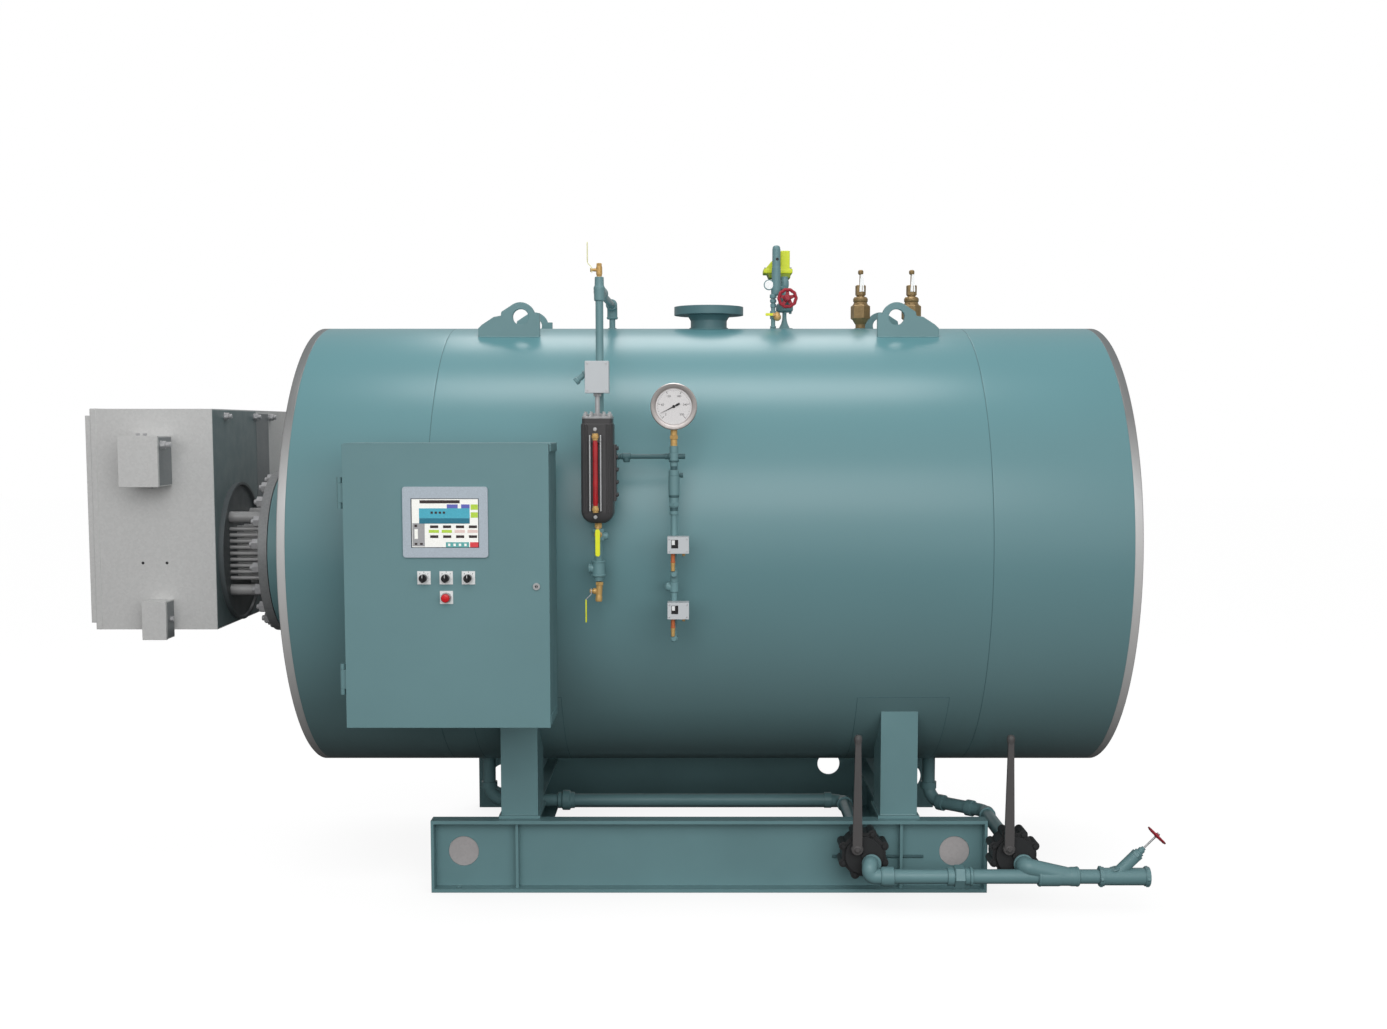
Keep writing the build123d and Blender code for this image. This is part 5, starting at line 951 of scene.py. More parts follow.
leverPiece("ventLever", "vent_lever", (px - 0.022, py, pipes["cockZ"]), toLeft, upward, 0.086, width=0.01,
           sleeve=0.0032,
           coats=["paleGrip", "paleGrip", "brassMetal"])
leverPiece("isolationLever", "isolation_lever", (cx, cy - 0.031, pipes["isolationZ"]), toFront, downward,
           0.066,
           grip=-0.28, crank=0.01, tail=0.028, coats=["brassMetal", "valveYellow", "brassMetal"])
leverPiece("drainLever", "drain_lever", (cx - 0.022, cy, pipes["drainCockZ"]), toLeft, downward, 0.1,
           crank=0.017,
           width=0.011, grip=0.26, sleeve=0.004)
print("boiler: water column made")

# pressure gauge: stepped case, bright bezel, white dial with its scale and a black needle; angles in degrees
gauge = {"x": -0.116, "y": -0.88, "z": 1.652, "front": -0.906, "dial": -0.8985, "start": 225, "sweep": 270,
         "marks": 6,
         "ticks": 50, "needle": 207, "step": 60, "figureR": 0.036, "figure": 0.0095, "screwR": 0.0685,
         "tickEnd": 0.053}
gx, gz = gauge["x"], gauge["z"]
bm = bmesh.new()
turn(bm, (gx, gauge["y"] + 0.021, gz), toFront,
     [(0, 0.05), (0.002, 0.06), (0.01, 0.066), (0.012, 0.0715), (0.037, 0.0715)],
     72, 0.001)
ring(bm, (gx, gauge["y"] - 0.018, gz), toFront,
     [(0, 0.057), (0, 0.0725), (0.002, 0.074), (0.006, 0.074), (0.0085, 0.0715),
     (0.008, 0.062), (0.006, 0.0585), (0.002, 0.057)], 96)
for a in (45, 165, 285):
    x, z = gx + gauge["screwR"] * math.cos(math.radians(a)), gz + gauge["screwR"] * math.sin(math.radians(a))
    turn(bm, (x, gauge["front"] + 0.0005, z), toFront, [(0, 0.002), (0.0012, 0.0012)], 10, 0)
place(bm, "gaugeCase", "gaugeSteel", "pressure_gauge")
bm = bmesh.new()
drum(bm, (gx, gauge["dial"] + 0.003, gz), toFront, 0.06, 0.003, 72, 0.0002)
place(bm, "gaugeDial", "dialWhite")


def dialFrame(degrees):
    # outward and across directions on the dial
    a = math.radians(degrees)
    return Vector((math.cos(a), 0, math.sin(a))), Vector((-math.sin(a), 0, math.cos(a)))


bm = bmesh.new()
for k in range(gauge["ticks"] + 1):
    inner, w = (0.044, 0.0007) if k % 10 == 0 else (0.0485 if k % 5 == 0 else 0.0505, 0.00035)
    out, across = dialFrame(gauge["start"] - gauge["sweep"] * k / gauge["ticks"])
    prism(bm, [(inner, -w), (inner, w), (gauge["tickEnd"], w), (gauge["tickEnd"], -w)],
          (gx, gauge["dial"] - 0.0001, gz), out, across, 0.0003, 0)
hand = [(0.048, 0.0002), (0.004, 0.0016), (-0.006, 0.0014), (-0.009, 0.0034), (-0.021, 0.003)]
outline = [(hand[0][0], -hand[0][1]), *hand, *((d, -w) for d, w in hand[:0:-1])]
prism(bm, outline, (gx, gauge["dial"] - 0.0028, gz), *dialFrame(gauge["needle"]), 0.0009, 0)
turn(bm, (gx, gauge["dial"], gz), toFront, [(0, 0.0046), (0.003, 0.0046), (0.0045, 0.003)], 24, 0)
place(bm, "gaugeNeedle", "knobBlack")


def numeral(text, at, height):
    # plain figures as thin solid letters facing the operator
    data = bpy.data.curves.new("figure", "FONT")
    data.body = text
    data.size = height
    data.align_x, data.align_y = "CENTER", "CENTER"
    data.extrude = 0.00015
    data.resolution_u = 3
    label = bpy.data.objects.new("figure", data)
    mesh = bpy.data.meshes.new_from_object(label)
    bpy.data.objects.remove(label)
    mesh.transform(Matrix.Translation(at) @ Matrix.Rotation(math.radians(90), 4, "X"))
    return mesh


bm = bmesh.new()
for k in range(gauge["marks"]):
    out = dialFrame(gauge["start"] - gauge["sweep"] * k / (gauge["marks"] - 1))[0] * gauge["figureR"]
    bm.from_mesh(numeral(str(k * gauge["step"]), out + Vector((gx, gauge["dial"] - 0.0002, gz)),
                         gauge["figure"]))
place(bm, "gaugeFigures", "knobBlack")

# gauge tree: painted joints and dark sealed ones (from, to, radius), rings of the side pipe (x, radius, width)
stack = {"x": -0.116, "y": -0.88, "sideZ": 1.494, "backZ": 1.076, "taps": (1.12, 0.913), "reach": 0.0388,
         "painted": ((1.505, 1.5275, 0.0138), (1.48, 1.505, 0.0152), (1.462, 1.477, 0.0125),
                     (1.432, 1.451, 0.0166),
                     (1.37, 1.432, 0.0178), (1.331, 1.364, 0.0155), (1.308, 1.32, 0.0146),
                     (1.24, 1.308, 0.0105),
                     (1.118, 1.139, 0.0112), (1.092, 1.114, 0.0128), (1.06, 1.092, 0.015),
                     (1.03, 1.06, 0.0105),
                     (0.918, 0.932, 0.0112)),
         "sealed": ((1.476, 1.481, 0.0165), (1.451, 1.463, 0.0112), (1.363, 1.371, 0.0168),
                    (1.319, 1.332, 0.0128),
                    (1.113, 1.119, 0.0122), (0.904, 0.918, 0.0112)),
         "side": ((-0.299, 0.0105, 0.01), (-0.286, 0.0096, 0.006), (-0.145, 0.0096, 0.01),
                  (-0.134, 0.0112, 0.008)),
         "switches": (1.188, 0.979), "switchX": -0.119, "faceX": -0.136, "faceY": -0.9468, "faceTop": 0.053}
tx, ty, sideZ, backZ = stack["x"], stack["y"], stack["sideZ"], stack["backZ"]
bm = bmesh.new()
for z1, z2, r in stack["painted"]:
    drum(bm, (tx, ty, z1), upward, r, z2 - z1, 32)
for z1, z2, r in stack["sealed"]:
    drum(bm, (tx, ty, z1), upward, r, z2 - z1, 32, 0.001, 1)
rod(bm, (tx, ty, 0.93), (tx, ty, 1.5), 0.009)
# the side pipe with its nut, rings, tee and plugs is in the darker teal as painted shade
rod(bm, (tx, ty, sideZ), (tx + 0.028, ty, sideZ), 0.0085, 24, 0.001, 1)
hexagon(bm, (tx + 0.026, ty, sideZ), toRight, 0.0175, 0.01, 1)
rod(bm, (-0.304, ty, sideZ), (tx, ty, sideZ), 0.0076, 24, 0, 1)
for x, r, wide in stack["side"]:
    drum(bm, (x, ty, sideZ), toRight, r, wide, 24, 0.0012, 1)
drum(bm, (-0.28, ty, sideZ), toRight, 0.0112, 0.026, 28, 0.002, 1)
turn(bm, (-0.267, ty, sideZ), downward, [(0, 0.0108), (0.016, 0.0108), (0.019, 0.007)], 24, 0.0012, 1)
plug = [(0, 0.006), (0.012, 0.006), (0.012, 0.008), (0.021, 0.008)]
turn(bm, (tx + 0.008, ty, 1.434), toRight, plug, 20, 0.001, 1)
hexagon(bm, (tx, ty, 1.334), upward, 0.032, 0.013, 0, 0.002)
for z in stack["taps"]:
    rod(bm, (tx, ty, z), (tx, ty - stack["reach"], z), 0.0085, 24, 0.001)
    drum(bm, (tx, ty - 0.024, z), toFront, 0.0118, 0.01, 24, 0.0015)
turn(bm, (tx, ty, backZ), (-1, 0.25, 0), [(0, 0.012), (0.014, 0.014), (0.022, 0.014), (0.026, 0.011)], 28,
     0.0015)
rod(bm, (tx - 0.02, ty, backZ), (tx - 0.02, 0, backZ), 0.0105)
place(bm, "gaugeTree", ["tealPaint", "tealShade"], "gauge_manifold")
bm = bmesh.new()
drum(bm, (tx, ty, 1.5255), upward, 0.0108, 0.056, 28, 0.001)
hexagon(bm, (tx, ty, 1.548), upward, 0.025, 0.013, 0, 0.0015)
x, y = stack["switchX"], ty - stack["reach"]
for z in stack["switches"]:
    turn(bm, (x, y, z - 0.058), upward, [(0, 0.0062), (0.018, 0.0066), (0.02, 0.0072), (0.03, 0.0072)], 20,
         0.0008)
    turn(bm, (-0.085, y, z - 0.0095), upward, [(0, 0.004), (0.003, 0.0052), (0.0098, 0.0052)], 20, 0.0008)
    hexagon(bm, (x, y, z - 0.031), upward, 0.015, 0.004, 1)
    drum(bm, (x, y, z - 0.028), upward, 0.0068, 0.0282, 24, 0.0008, 1)
place(bm, "treeBrass", ["brassMetal", "copperMetal"])
bm = bmesh.new()
left, y = stack["faceX"], stack["faceY"]
for z in stack["switches"]:
    top = z + stack["faceTop"]
    slab(bm, (left + 0.012, y - 0.0012, top - 0.036), (left + 0.034, y + 0.001, top - 0.009), 0.0006, 1)
    slab(bm, (left + 0.0135, y - 0.002, top - 0.025), (left + 0.0235, y - 0.0008, top - 0.0105), 0.0003, 1, 1)
    for across, down in ((0.006, 0.007), (0.006, 0.046), (0.062, 0.007), (0.062, 0.046)):
        spot = (left + across, y + 0.0008, top - down)
        turn(bm, spot, toFront, [(0, 0.0026), (0.0012, 0.0026), (0.0017, 0.0015)], 12, 0, 2)
place(bm, "pressureSwitchFaces", ["knobBlack", "plateWhite", "boltSteel"])
print("boiler: gauge tree made")

# steam outlet: the flange's raised face with its rings
outlet = {"x": 0.003, "seat": 2.03, "rings": 5, "first": 0.066, "pitch": 0.0045, "lift": 0.0016}
bm = bmesh.new()
ring(bm, (outlet["x"], 0, outlet["seat"]), upward, [(-0.001, 0.0602), (-0.001, 0.087), (0.0012, 0.087),
     (outlet["lift"], 0.0862), (outlet["lift"], 0.0612)], 72)
for k in range(outlet["rings"]):
    r = outlet["first"] + k * outlet["pitch"]
    ring(bm, (outlet["x"], 0, outlet["seat"] + outlet["lift"]), upward,
         [(-0.0004, r), (0.0004, r + 0.0005), (-0.0004, r + 0.001)], 72)
place(bm, "flangeFace", "flangeGrey")

# welds where necks, lugs, legs and stiffeners meet their plates; each neck as (x, y, radius, points, bead)
beads = {"necks": ((0.003, 0, 0.069, 72, 0.0045), (0.284, 0, 0.0285, 32, 0.0035),
                   (0.24, -0.042, 0.01, 16, 0.0025),
                   (0.566, 0, 0.021, 28, 0.003), (0.755, 0, 0.021, 28, 0.003)),
         "lugY": 0.25, "lugFace": 0.0115, "lugFrom": 0.602, "lugTo": 0.817, "saddleX": 0.65,
         "saddleHalf": 0.063,
         "saddleY": 0.6005, "saddleZ": 0.2615, "webX": 0.658, "webFace": 0.0055, "webY": 0.592, "endX": 0.938,
         "endY": 0.5925, "low": 0.014, "high": 0.236}
bm = bmesh.new()
for neck in beads["necks"]:
    neckWeld(bm, *neck)
for end in (-1, 1):
    for facing in (-1, 1):
        for face in (-1, 1):
            y = facing * beads["lugY"] + face * beads["lugFace"]
            z = vessel["axisZ"] + math.sqrt(vessel["radius"] ** 2 - y * y)
            weld(bm, [(end * beads["lugFrom"], y, z), (end * beads["lugTo"], y, z)], 0.0045)
    x1, x2 = end * beads["saddleX"] - beads["saddleHalf"], end * beads["saddleX"] + beads["saddleHalf"]
    for y in (-beads["saddleY"], beads["saddleY"]):
        weld(bm, [(x1, y, beads["saddleZ"]), (x2, y, beads["saddleZ"])])
    upright = [(end * beads["webX"] + off, y) for y in (-beads["webY"], beads["webY"])
               for off in (-beads["webFace"], beads["webFace"])]
    upright += [(end * beads["endX"], y) for y in (-beads["endY"], beads["endY"])]
    for x, y in upright:
        weld(bm, [(x, y, beads["low"]), (x, y, beads["high"])], 0.003)
place(bm, "welds", "tealPaint")
bm = bmesh.new()
rod(bm, (0.424, -0.5945, 0.115), (0.737, -0.5945, 0.115), 0.005, 12, 0.0008)
place(bm, "webRod", "tealShade")

# lifting lugs: plates with a round crown over the hole and a long slope outwards
lug = {"inner": 0.6, "outer": 0.819, "hole": (0.668, 1.977), "holeR": 0.028, "crown": 0.052, "foot": 1.86,
       "slope": (0.545, 0.838), "y": 0.25, "plate": 0.022, "soft": 0.0012, "points": 96}
bm = bmesh.new()
hx, hz = lug["hole"]
rim = []
for dx, dz in circle(lug["points"]):
    # the nearest of the straight edges and the crown's circle, seen from the hole
    rise = dx * lug["slope"][0] + dz * lug["slope"][1]
    reach = [1, lug["crown"] * 1.35 if dz > 0 else 1, lug["crown"] / rise if rise > 0.001 else 1]
    if dx < -0.001:
        reach.append((lug["inner"] - hx) / dx)
    if dx > 0.001:
        reach.append((lug["outer"] - hx) / dx)
    if dz < -0.001:
        reach.append((lug["foot"] - hz) / dz)
    if dz > 0.25 and dx < lug["slope"][0]:
        reach.append(lug["crown"])
    rim.append((dx, dz, min(reach)))
# the skin runs over the outer edge and back through the hole; full loops are drawn in by the chamfer
skin = [(False, side, full) for side, full in ((-1, 1), (-1, 0), (1, 0), (1, 1))]
skin += [(True, side, full) for side, full in ((1, 1), (1, 0), (-1, 0), (-1, 1))]
for end in (-1, 1):
    for facing in (-1, 1):
        loops = []
        for inHole, side, full in skin:
            drawn = lug["soft"] * full
            y = facing * lug["y"] + side * (lug["plate"] / 2 - lug["soft"] + drawn)
            spots = [(dx, dz, lug["holeR"] + drawn if inHole else r - drawn) for dx, dz, r in rim]
            loops.append([bm.verts.new((end * (hx + dx * r), y, hz + dz * r)) for dx, dz, r in spots])
        bridge(bm, loops, closed=True)
place(bm, "liftingLugs", "tealPaint", "lifting_lugs")

# safety valves: hexagonal body on a tapered inlet, screwed shoulder, slotted cap, flat lever and round knob
valve = {"places": (0.566, 0.755), "turned": 0.26, "holeR": 0.0268, "holeZ": 2.057,
         "screws": (0.011, -0.0235, 2.0425)}
aside, screwY, screwZ = valve["screws"]
bm = bmesh.new()
for x in valve["places"]:
    turn(bm, (x, 0, 1.935), upward, [(0, 0.018), (0.032, 0.018), (0.034, 0.0205), (0.054, 0.0325)])
    hexagon(bm, (x, 0, 1.985), upward, 0.063, 0.052, 0, 0.004, valve["turned"])
    turn(bm, (x, 0, 2.036), upward, [(0, 0.03), (0.006, 0.0262), (0.0135, 0.024)], 40, 0.001)
    turn(bm, (x, 0, 2.049), upward, [(0, 0.0262), (0.004, 0.0272), (0.012, 0.0272), (0.0185, 0.0225)], 40,
         0.001)
    drum(bm, (x, 0, 2.067), upward, 0.015, 0.007, 32, 0.0008)
    hexagon(bm, (x, 0, 2.0725), upward, 0.034, 0.0385, 0, 0.0025, valve["turned"])
    turn(bm, (x, 0, 2.02), toRear, [(0.02, 0.022), (0.05, 0.022), (0.051, 0.0265), (0.062, 0.0265)], 36)
    for side in (-1, 1):
        drum(bm, (x + side * aside, screwY, screwZ), (side * 0.3, -1, 0.35), 0.003, 0.003, 12, 0.0006)
    for c, s in circle(6, 0.5):
        spot = (x + valve["holeR"] * c, valve["holeR"] * s, valve["holeZ"])
        drum(bm, spot, (c, s, 0), 0.0022, 0.001, 8, 0.0003)
place(bm, "safetyBodies", "agedBrass", "safety_valves")
blade = [(-0.0075, 2.086), (0.0105, 2.086), (0.0085, 2.112), (0.0045, 2.149), (-0.0035, 2.149),
         (-0.006, 2.112)]
knob = [(0, 0.0068), (0.003, 0.0098), (0.011, 0.0102), (0.0145, 0.009), (0.017, 0.005)]
bm = bmesh.new()
for x in valve["places"]:
    prism(bm, blade, (x + 0.0015, -0.0135, 0), toRight, upward, 0.005, 0.0008, 1)
    turn(bm, (x, 0, 2.105), upward, [(0, 0.005), (0.044, 0.0042), (0.046, 0.0055)], 16, 0.0005, 1)
    turn(bm, (x, 0, 2.15), upward, knob, 28, 0.0004, 1)
place(bm, "safetyLevers", ["discWhite", "agedBrass"], "safety_levers")

# feed valve: flared foot, round body behind the wheel, bulb under the actuator, tall upright and thin pipe
feed = {"x": 0.284, "upright": (0.251, -0.042), "pipe": (0.24, -0.042), "disc": (0.224, 2.108),
        "bolts": 0.0255,
        "wheel": (0.29, -0.086, 2.057), "stem": -0.038,
        "foot": [(0, 0.023), (0.02, 0.0215), (0.029, 0.0175), (0.04, 0.012), (0.052, 0.009), (0.062, 0.0078),
                 (0.086, 0.0078)],
        "body": [(0, 0.018), (0.004, 0.03), (0.01, 0.032), (0.024, 0.032), (0.03, 0.029), (0.036, 0.019),
                 (0.086, 0.017)],
        "bulb": [(0, 0.009), (0.005, 0.0135), (0.016, 0.016), (0.03, 0.016), (0.04, 0.013), (0.048, 0.0125)],
        "bonnet": [(0, 0.0165), (0.04, 0.015), (0.042, 0.0115), (0.06, 0.0115), (0.066, 0.009)],
        "tall": [(0, 0.0125), (0.004, 0.016), (0.018, 0.017), (0.028, 0.0165), (0.1, 0.0165), (0.104, 0.015),
                 (0.168, 0.015), (0.178, 0.0125), (0.182, 0.0065)],
        "joints": ((1.984, 2.014, 0.0115), (2.026, 2.04, 0.0105), (2.044, 2.056, 0.0118),
                   (2.06, 2.074, 0.0128))}
fx, (ux, uy), (vx, vy), (discX, discZ) = (feed[key] for key in ("x", "upright", "pipe", "disc"))
wheelX, _, wheelZ = feed["wheel"]
bm = bmesh.new()
turn(bm, (fx, 0, 1.93), upward, feed["foot"], 36, 0.001)
turn(bm, (fx, 0, 2.011), upward, feed["body"], 40, 0.0015)
turn(bm, (fx, 0, 2.094), upward, feed["bulb"], 36)
for c, s in circle(6, 0.5):
    bolt(bm, (fx + feed["bolts"] * c, feed["bolts"] * s, 2.012), downward, 0.008)
turn(bm, (wheelX, -0.01, wheelZ), toFront, feed["bonnet"], 32)
turn(bm, (ux, uy, 2.07), upward, feed["tall"], 36)
rod(bm, (ux, uy, 2.1), (fx, 0, 2.1), 0.0085)
rod(bm, (vx, vy, 1.935), (vx, vy, 2.1), 0.008)
for z1, z2, r in feed["joints"]:
    drum(bm, (vx, vy, z1), upward, r, z2 - z1, 28, 0.0015)
turn(bm, (discX, -0.046, discZ), toFront, [(0, 0.015), (0.002, 0.0195), (0.0055, 0.0195)], 40, 0.0008)
rod(bm, (discX, uy, discZ), (ux, uy, discZ), 0.0065, 20)
place(bm, "feedBody", "tealPaint", "feed_valve")
bm = bmesh.new()
slab(bm, (0.27, 0.014, 2.168), (0.304, 0.098, 2.2395), 0.003, 3)
slab(bm, (0.2065, 0.013, 2.156), (0.3145, 0.099, 2.1735), 0.0035, 3)
roof = [(0.2075, 2.166), (0.2705, 2.166), (0.2705, 2.216), (0.235, 2.2)]
prism(bm, roof, (0, 0.097, 0), toRight, upward, 0.082, 0.003)
# the block under the actuator is in the darker green as painted shade
under = [(0.228, 2.14), (0.306, 2.14), (0.3085, 2.157), (0.22, 2.157)]
prism(bm, under, (0, 0.096, 0), toRight, upward, 0.08, 0.002, 2, 1)
for x in (0.214, 0.307):
    for y in (0.022, 0.09):
        bolt(bm, (x, y, 2.173), upward, 0.008, 2)
place(bm, "feedActuator", ["actuatorGreen", "actuatorShade", "boltSteel"], "feed_actuator")
bm = bmesh.new()
drum(bm, (discX, -0.051, discZ), toFront, 0.016, 0.0016, 40, 0.0004)
place(bm, "feedDisc", "discWhite")
# a flat black disc stands for a hole in the upright: painted shade inside the hole
bm = bmesh.new()
drum(bm, (0.2535, -0.056, 2.201), toFront, 0.0055, 0.0016, 20, 0)
place(bm, "feedHole", "knobBlack")
bm = bmesh.new()
cock = [(0, 0.009), (0.004, 0.0125), (0.013, 0.013), (0.019, 0.009), (0.021, 0.006)]
turn(bm, (0.244, vy, 1.998), toRight, cock, 28, 0.001)
turn(bm, (0.2545, -0.05, 1.99), toFront, [(0, 0.012), (0.008, 0.0145), (0.014, 0.012), (0.018, 0.006)], 28,
     0.0015)
place(bm, "feedBrass", "brassMetal")
bm = bmesh.new()
socketEnd(bm, (vx, vy, 1.955), upward, 0.011, 0, 0.008)
neckWeld(bm, fx, 0, 0.0235, 32, 0.003)
place(bm, "feedFittings", "tealPaint")
leverPiece("feedCockLever", "feed_cock_lever", (vx, -0.064, 1.999), toFront, toLeft, 0.028, crank=0.005,
           width=0.009,
           grip=0.1, tail=0.004)
print("boiler: top made")

# blowdown line: elbows down from the valves, union, wye with its slanting branch, and threaded mouths
line = {"y": -0.8, "z": 0.103, "port": 0.137, "left": 0.54, "right": 1.046, "pipe": 0.024, "elbow": 0.029,
        "bend": 0.03,
        "union": 0.827, "wye": 1.34, "slant": math.sqrt(0.5), "valves": (0.518, 1.024), "mouthZ": 0.17}
ly, lz, pz, slant, union = (line[key] for key in ("y", "z", "port", "slant", "union"))
left, right = line["left"], line["right"]
branchWay = (slant, 0, slant)


def branch(reach):
    # a place on the wye's branch
    return (line["wye"] + reach * slant, ly, lz + reach * slant)


def spoked(centre, axis, rim, tube, hub, wide, spokes=5):
    # a cast handwheel: flat spokes, a nut on its hub and a wavy rim
    along, side, up = axisFrame(axis)
    centre = Vector(centre)
    bm = bmesh.new()
    loops = []
    for k, (c, s) in enumerate(circle(60)):
        outward, r = side * c + up * s, rim + tube * 0.16 * math.cos(math.pi * k / 3)
        loops.append([bm.verts.new(centre + outward * (r + tube * c2) + along * tube * 0.9 * s2) for c2,
                      s2 in circle(8)])
    bridge(bm, loops, closed=True)
    far = rim - tube * 0.3
    spoke = [(hub * 0.5, wide * -1.2), (far, wide * -0.7), (far, wide * 0.7), (hub * 0.5, wide * 1.2)]
    for c, s in circle(spokes, 0.25):
        outward = side * c + up * s
        prism(bm, spoke, centre - along * tube * 0.45, outward, along.cross(outward), tube * -0.9, 0.0006, 1)
    turn(bm, centre - along * hub * 0.7, along, [(0, hub * 0.95), (hub * 0.8, hub), (hub * 1.4, hub * 0.8)],
         28, 0.001)
    hexagon(bm, centre + along * hub * 0.7, along, hub * 1.1, hub * 0.4, 1)
    return bm


bm = spoked(feed["wheel"], toFront, 0.0308, 0.0062, 0.0145, 0.0068)
rod(bm, feed["wheel"], (wheelX, feed["stem"], wheelZ), 0.0049, 16, 0.0005, 1)
place(bm, "feedWheel", ["wheelRed", "wheelRed"], "feed_handwheel", body="feed_handwheel")
bm = spoked(branch(0.196), branchWay, 0.0344, 0.0038, 0.009, 0.0038)
rod(bm, branch(0.196), branch(0.096), 0.0034, 16, 0.0005, 1)
place(bm, "lineWheel", ["wheelRed", "brightSteel"], "y_handwheel", body="y_handwheel")

bm = bmesh.new()
drop, inner = pz + 0.004, left - 0.01
pipe(bm, [(left, ly + 0.04, drop), (inner, ly + 0.002, drop), (inner, ly, lz), (left + 0.06, ly, lz)],
     line["elbow"] - 0.0035, 0.026, 32)
pipe(bm, [(right, ly + 0.036, pz), (right, ly, pz), (1.195, ly, lz)], line["elbow"], line["bend"], 32, 0, 10)
rod(bm, (0.574, ly, lz), (1.29, ly, lz), line["pipe"], 36)
turn(bm, (0.566, ly, lz), toRight, [(0, 0.029), (0.01, 0.0325), (0.044, 0.0325)], 36, 0.002)
for x in (left, right):
    socketEnd(bm, (x, ly + 0.031, pz), toRear, 0.0325, 0, 0.011)
hexagon(bm, (union - 0.017, ly, lz), toRight, 0.068, 0.034, 0, 0.003, 0.1)
for a, b, r in ((-0.04, -0.017, 0.03), (0.017, 0.034, 0.0285), (0.034, 0.044, 0.0312)):
    drum(bm, (union + a, ly, lz), toRight, r, b - a, 36, 0.002)
coupling = [(0, 0.032), (0.07, 0.032), (0.074, 0.0305), (0.105, 0.0305), (0.109, 0.032), (0.136, 0.032)]
turn(bm, (1.087, ly, lz), toRight, coupling, 40, 0.002)
for x in (1.093, 1.217):
    socketEnd(bm, (x, ly, lz), toRight, 0.0332, 0, 0.01)
place(bm, "blowdownLine", "tealPaint", "blowdown_line")
bm = bmesh.new()
for x in (1.289, 1.443):
    hexagon(bm, (x, ly, lz), toRight, 0.061, 0.012, 0, 0.002, 0.1)
saddle = [(line["wye"] + 0.02 * c, ly + 0.0215 * s, lz + 0.026 + 0.006 * c) for c, s in circle(24)]
weld(bm, saddle, 0.003, True)
hexagon(bm, branch(0.098), branchWay, 0.036, 0.012, 0, 0.001)
for x in line["valves"]:
    socketEnd(bm, (x, -0.64, line["mouthZ"]), toRear, 0.031, 0, 0.014)
mouth = [(0, 0.031), (0.016, 0.031), (0.018, 0.038), (0.046, 0.038), (0.048, 0.031), (0.064, 0.031)]
turn(bm, (-0.57, 0, line["mouthZ"]), toRight, mouth, 36, 0.002)
turn(bm, branch(0.118), branchWay, [(0, 0.0115), (0.012, 0.0115), (0.013, 0.008), (0.02, 0.008)], 20, 0.0008)
place(bm, "lineFittings", "tealPaint")

# blowdown valves: nuts round the cover, then the tapered levers with a ball at the end
handle = {"pin": 0.186, "places": (("left", 0.492), ("right", 0.998)), "aside": 0.026, "nutsZ": 0.158,
          "nutsR": 0.074,
          "half": [(0.0165, 0.18), (0.016, 0.23), (0.014, 0.33), (0.0118, 0.43), (0.0102, 0.545)],
          "ball": [(-0.012, 0.01), (0, 0.0128), (0.01, 0.0136), (0.019, 0.0118), (0.024, 0.006)]}
pin, half = handle["pin"], handle["half"]
bm = bmesh.new()
for x in line["valves"]:
    hexagon(bm, (x, -0.7455, handle["nutsZ"]), toFront, 0.02, 0.01)
    for c, s in circle(8, 0.5):
        # the lever's boss takes the place of a nut
        nutX, nutZ = x + handle["nutsR"] * c, handle["nutsZ"] + handle["nutsR"] * s
        if abs(nutX - (x - handle["aside"])) >= 0.03 or nutZ <= handle["nutsZ"]:
            hexagon(bm, (nutX, -0.7298, nutZ), toFront, 0.015, 0.007)
    turn(bm, (x - handle["aside"], -0.7455, pin), toFront, [(0, 0.018), (0.005, 0.016)], 24, 0.0008)
place(bm, "valveNuts", "castBlack")
outline = [(-half[0][0], half[0][1]), *half, *((-w, z) for w, z in half[:0:-1])]
for tag, x in handle["places"]:
    bm = bmesh.new()
    prism(bm, outline, (x, -0.7615, 0), toRight, upward, 0.013, 0.004)
    turn(bm, (x, -0.764, 0.548), upward, handle["ball"], 28, 0.001)
    turn(bm, (x, -0.755, pin), toFront, [(0, 0.02), (0.015, 0.02), (0.017, 0.0175)], 32, 0.001)
    turn(bm, (x, -0.7718, pin), toFront, [(0, 0.012), (0.003, 0.012), (0.005, 0.009)], 24, 0.0006)
    hexagon(bm, (x, -0.776, pin), toFront, 0.014, 0.006)
    rod(bm, (x, -0.755, pin), (x, -0.735, pin), 0.0098, 20)
    body = f"blowdown_lever_{tag}"
    place(bm, f"blowdownLever{tag.title()}", "leverGrey", body, body=body)
print("boiler: blowdown made")

# stage: white ground that keeps a soft contact shadow, and plain studio light
studio = {"sky": 0.45, "ground": 0.1, "contact": 0.93, "bright": 1.08, "reach": 0.45, "glow": 0.88, "size": 30}


def seenDirectly(tree):
    # 1 for what the camera sees, also through glass, and 0 for what only lights the boiler
    rays = addNode(tree, "LightPath")
    either = addNode(tree, "Math")
    either.operation = "MAXIMUM"
    tree.links.new(rays.outputs["Is Camera Ray"], either.inputs[0])
    tree.links.new(rays.outputs["Is Transmission Ray"], either.inputs[1])
    return either.outputs[0]


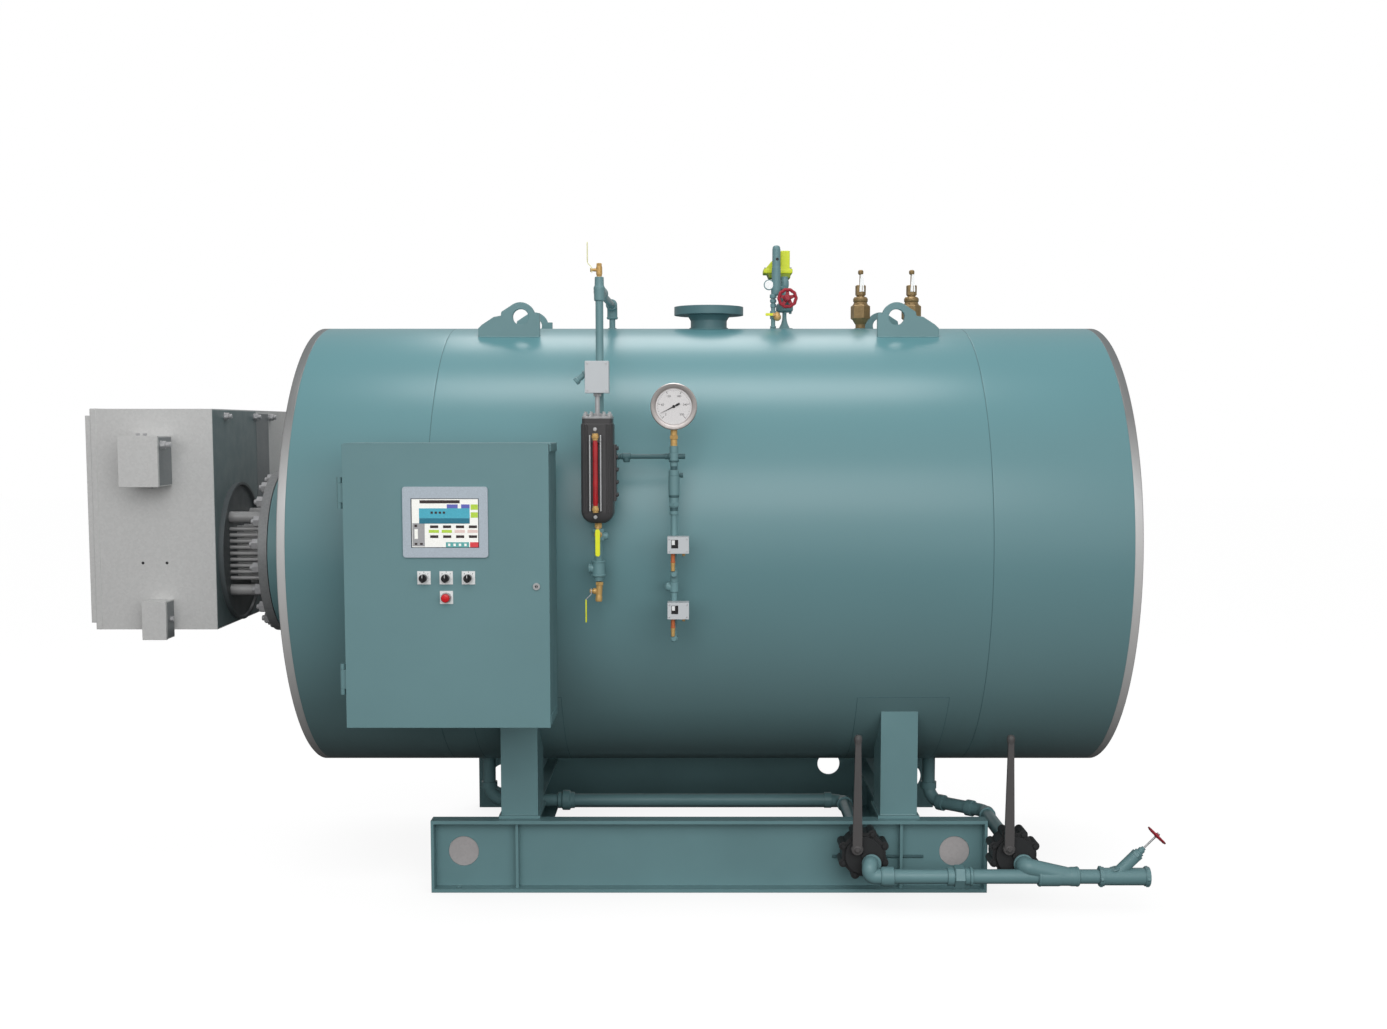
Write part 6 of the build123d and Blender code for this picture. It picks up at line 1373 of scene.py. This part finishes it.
floorMat, tree, shader = newMaterial("floorMat")
blend(tree, shader, spread(tree, noiseInto(tree, 6), 0, 1), (0.83, 0.83, 0.83, 1), (0.8, 0.8, 0.8, 1))
shader.inputs["Roughness"].default_value = 0.9
near = addNode(tree, "AmbientOcclusion", Distance=studio["reach"])
near.samples = 8
soft = addNode(tree, "MapRange", To_Min=studio["contact"], To_Max=studio["bright"])
white = addNode(tree, "Emission", Color=(1, 1, 1, 1))
pale = addNode(tree, "MixShader", Fac=studio["glow"])
dim = addNode(tree, "BsdfDiffuse", Color=(studio["ground"], studio["ground"], studio["ground"], 1))
choose = addNode(tree, "MixShader")
tree.links.new(near.outputs["AO"], soft.inputs["Value"])
tree.links.new(soft.outputs["Result"], white.inputs["Strength"])
tree.links.new(shader.outputs["BSDF"], pale.inputs[1])
tree.links.new(white.outputs["Emission"], pale.inputs[2])
tree.links.new(seenDirectly(tree), choose.inputs["Fac"])
tree.links.new(dim.outputs["BSDF"], choose.inputs[1])
tree.links.new(pale.outputs["Shader"], choose.inputs[2])
tree.links.new(choose.outputs["Shader"], tree.nodes["Material Output"].inputs["Surface"])
bm = bmesh.new()
bmesh.ops.create_grid(bm, x_segments=4, y_segments=4, size=studio["size"])
floorMesh = bpy.data.meshes.new("floor")
bm.to_mesh(floorMesh)
bm.free()
floorMesh.materials.append(floorMat)
floor = bpy.data.objects.new("floor", floorMesh)
floor.location = (0, 0, -0.0005)
scene.collection.objects.link(floor)

world = bpy.data.worlds.new("studio")
scene.world = world
world.use_nodes = True
tree = world.node_tree
back = tree.nodes["Background"]
back.inputs["Color"].default_value = (1, 1, 1, 1)
level = addNode(tree, "MapRange", To_Min=studio["sky"], To_Max=1)
tree.links.new(seenDirectly(tree), level.inputs["Value"])
tree.links.new(level.outputs["Result"], back.inputs["Strength"])


def softbox(name, spot, aim, size, watts):
    data = bpy.data.lights.new(name, "AREA")
    data.shape = "RECTANGLE"
    data.size, data.size_y = size
    data.energy = watts
    lamp = bpy.data.objects.new(name, data)
    lamp.location = spot
    lamp.rotation_euler = (Vector(aim) - Vector(spot)).to_track_quat("-Z", "Y").to_euler()
    scene.collection.objects.link(lamp)
    return lamp


# a wide soft fill that gives no highlights, then three boxes that draw the long soft bands on the jacket
fill = softbox("fillBox", (0.6, -6.6, 2.3), (0, 0, 0.9), (9, 3.2), 262)
fill.visible_glossy = False
softbox("frontBox", (0.0, -5.9, 4.5), (0, -0.7, 1.35), (4.4, 2.4), 88)
softbox("overBox", (-0.15, -0.5, 5.3), (-0.15, -0.5, 1.7), (3.0, 1.0), 50)
softbox("backBox", (-0.15, 2.9, 5.1), (-0.15, -0.3, 1.9), (3.0, 1.6), 44)
print("boiler: stage set")

print("boiler: done")
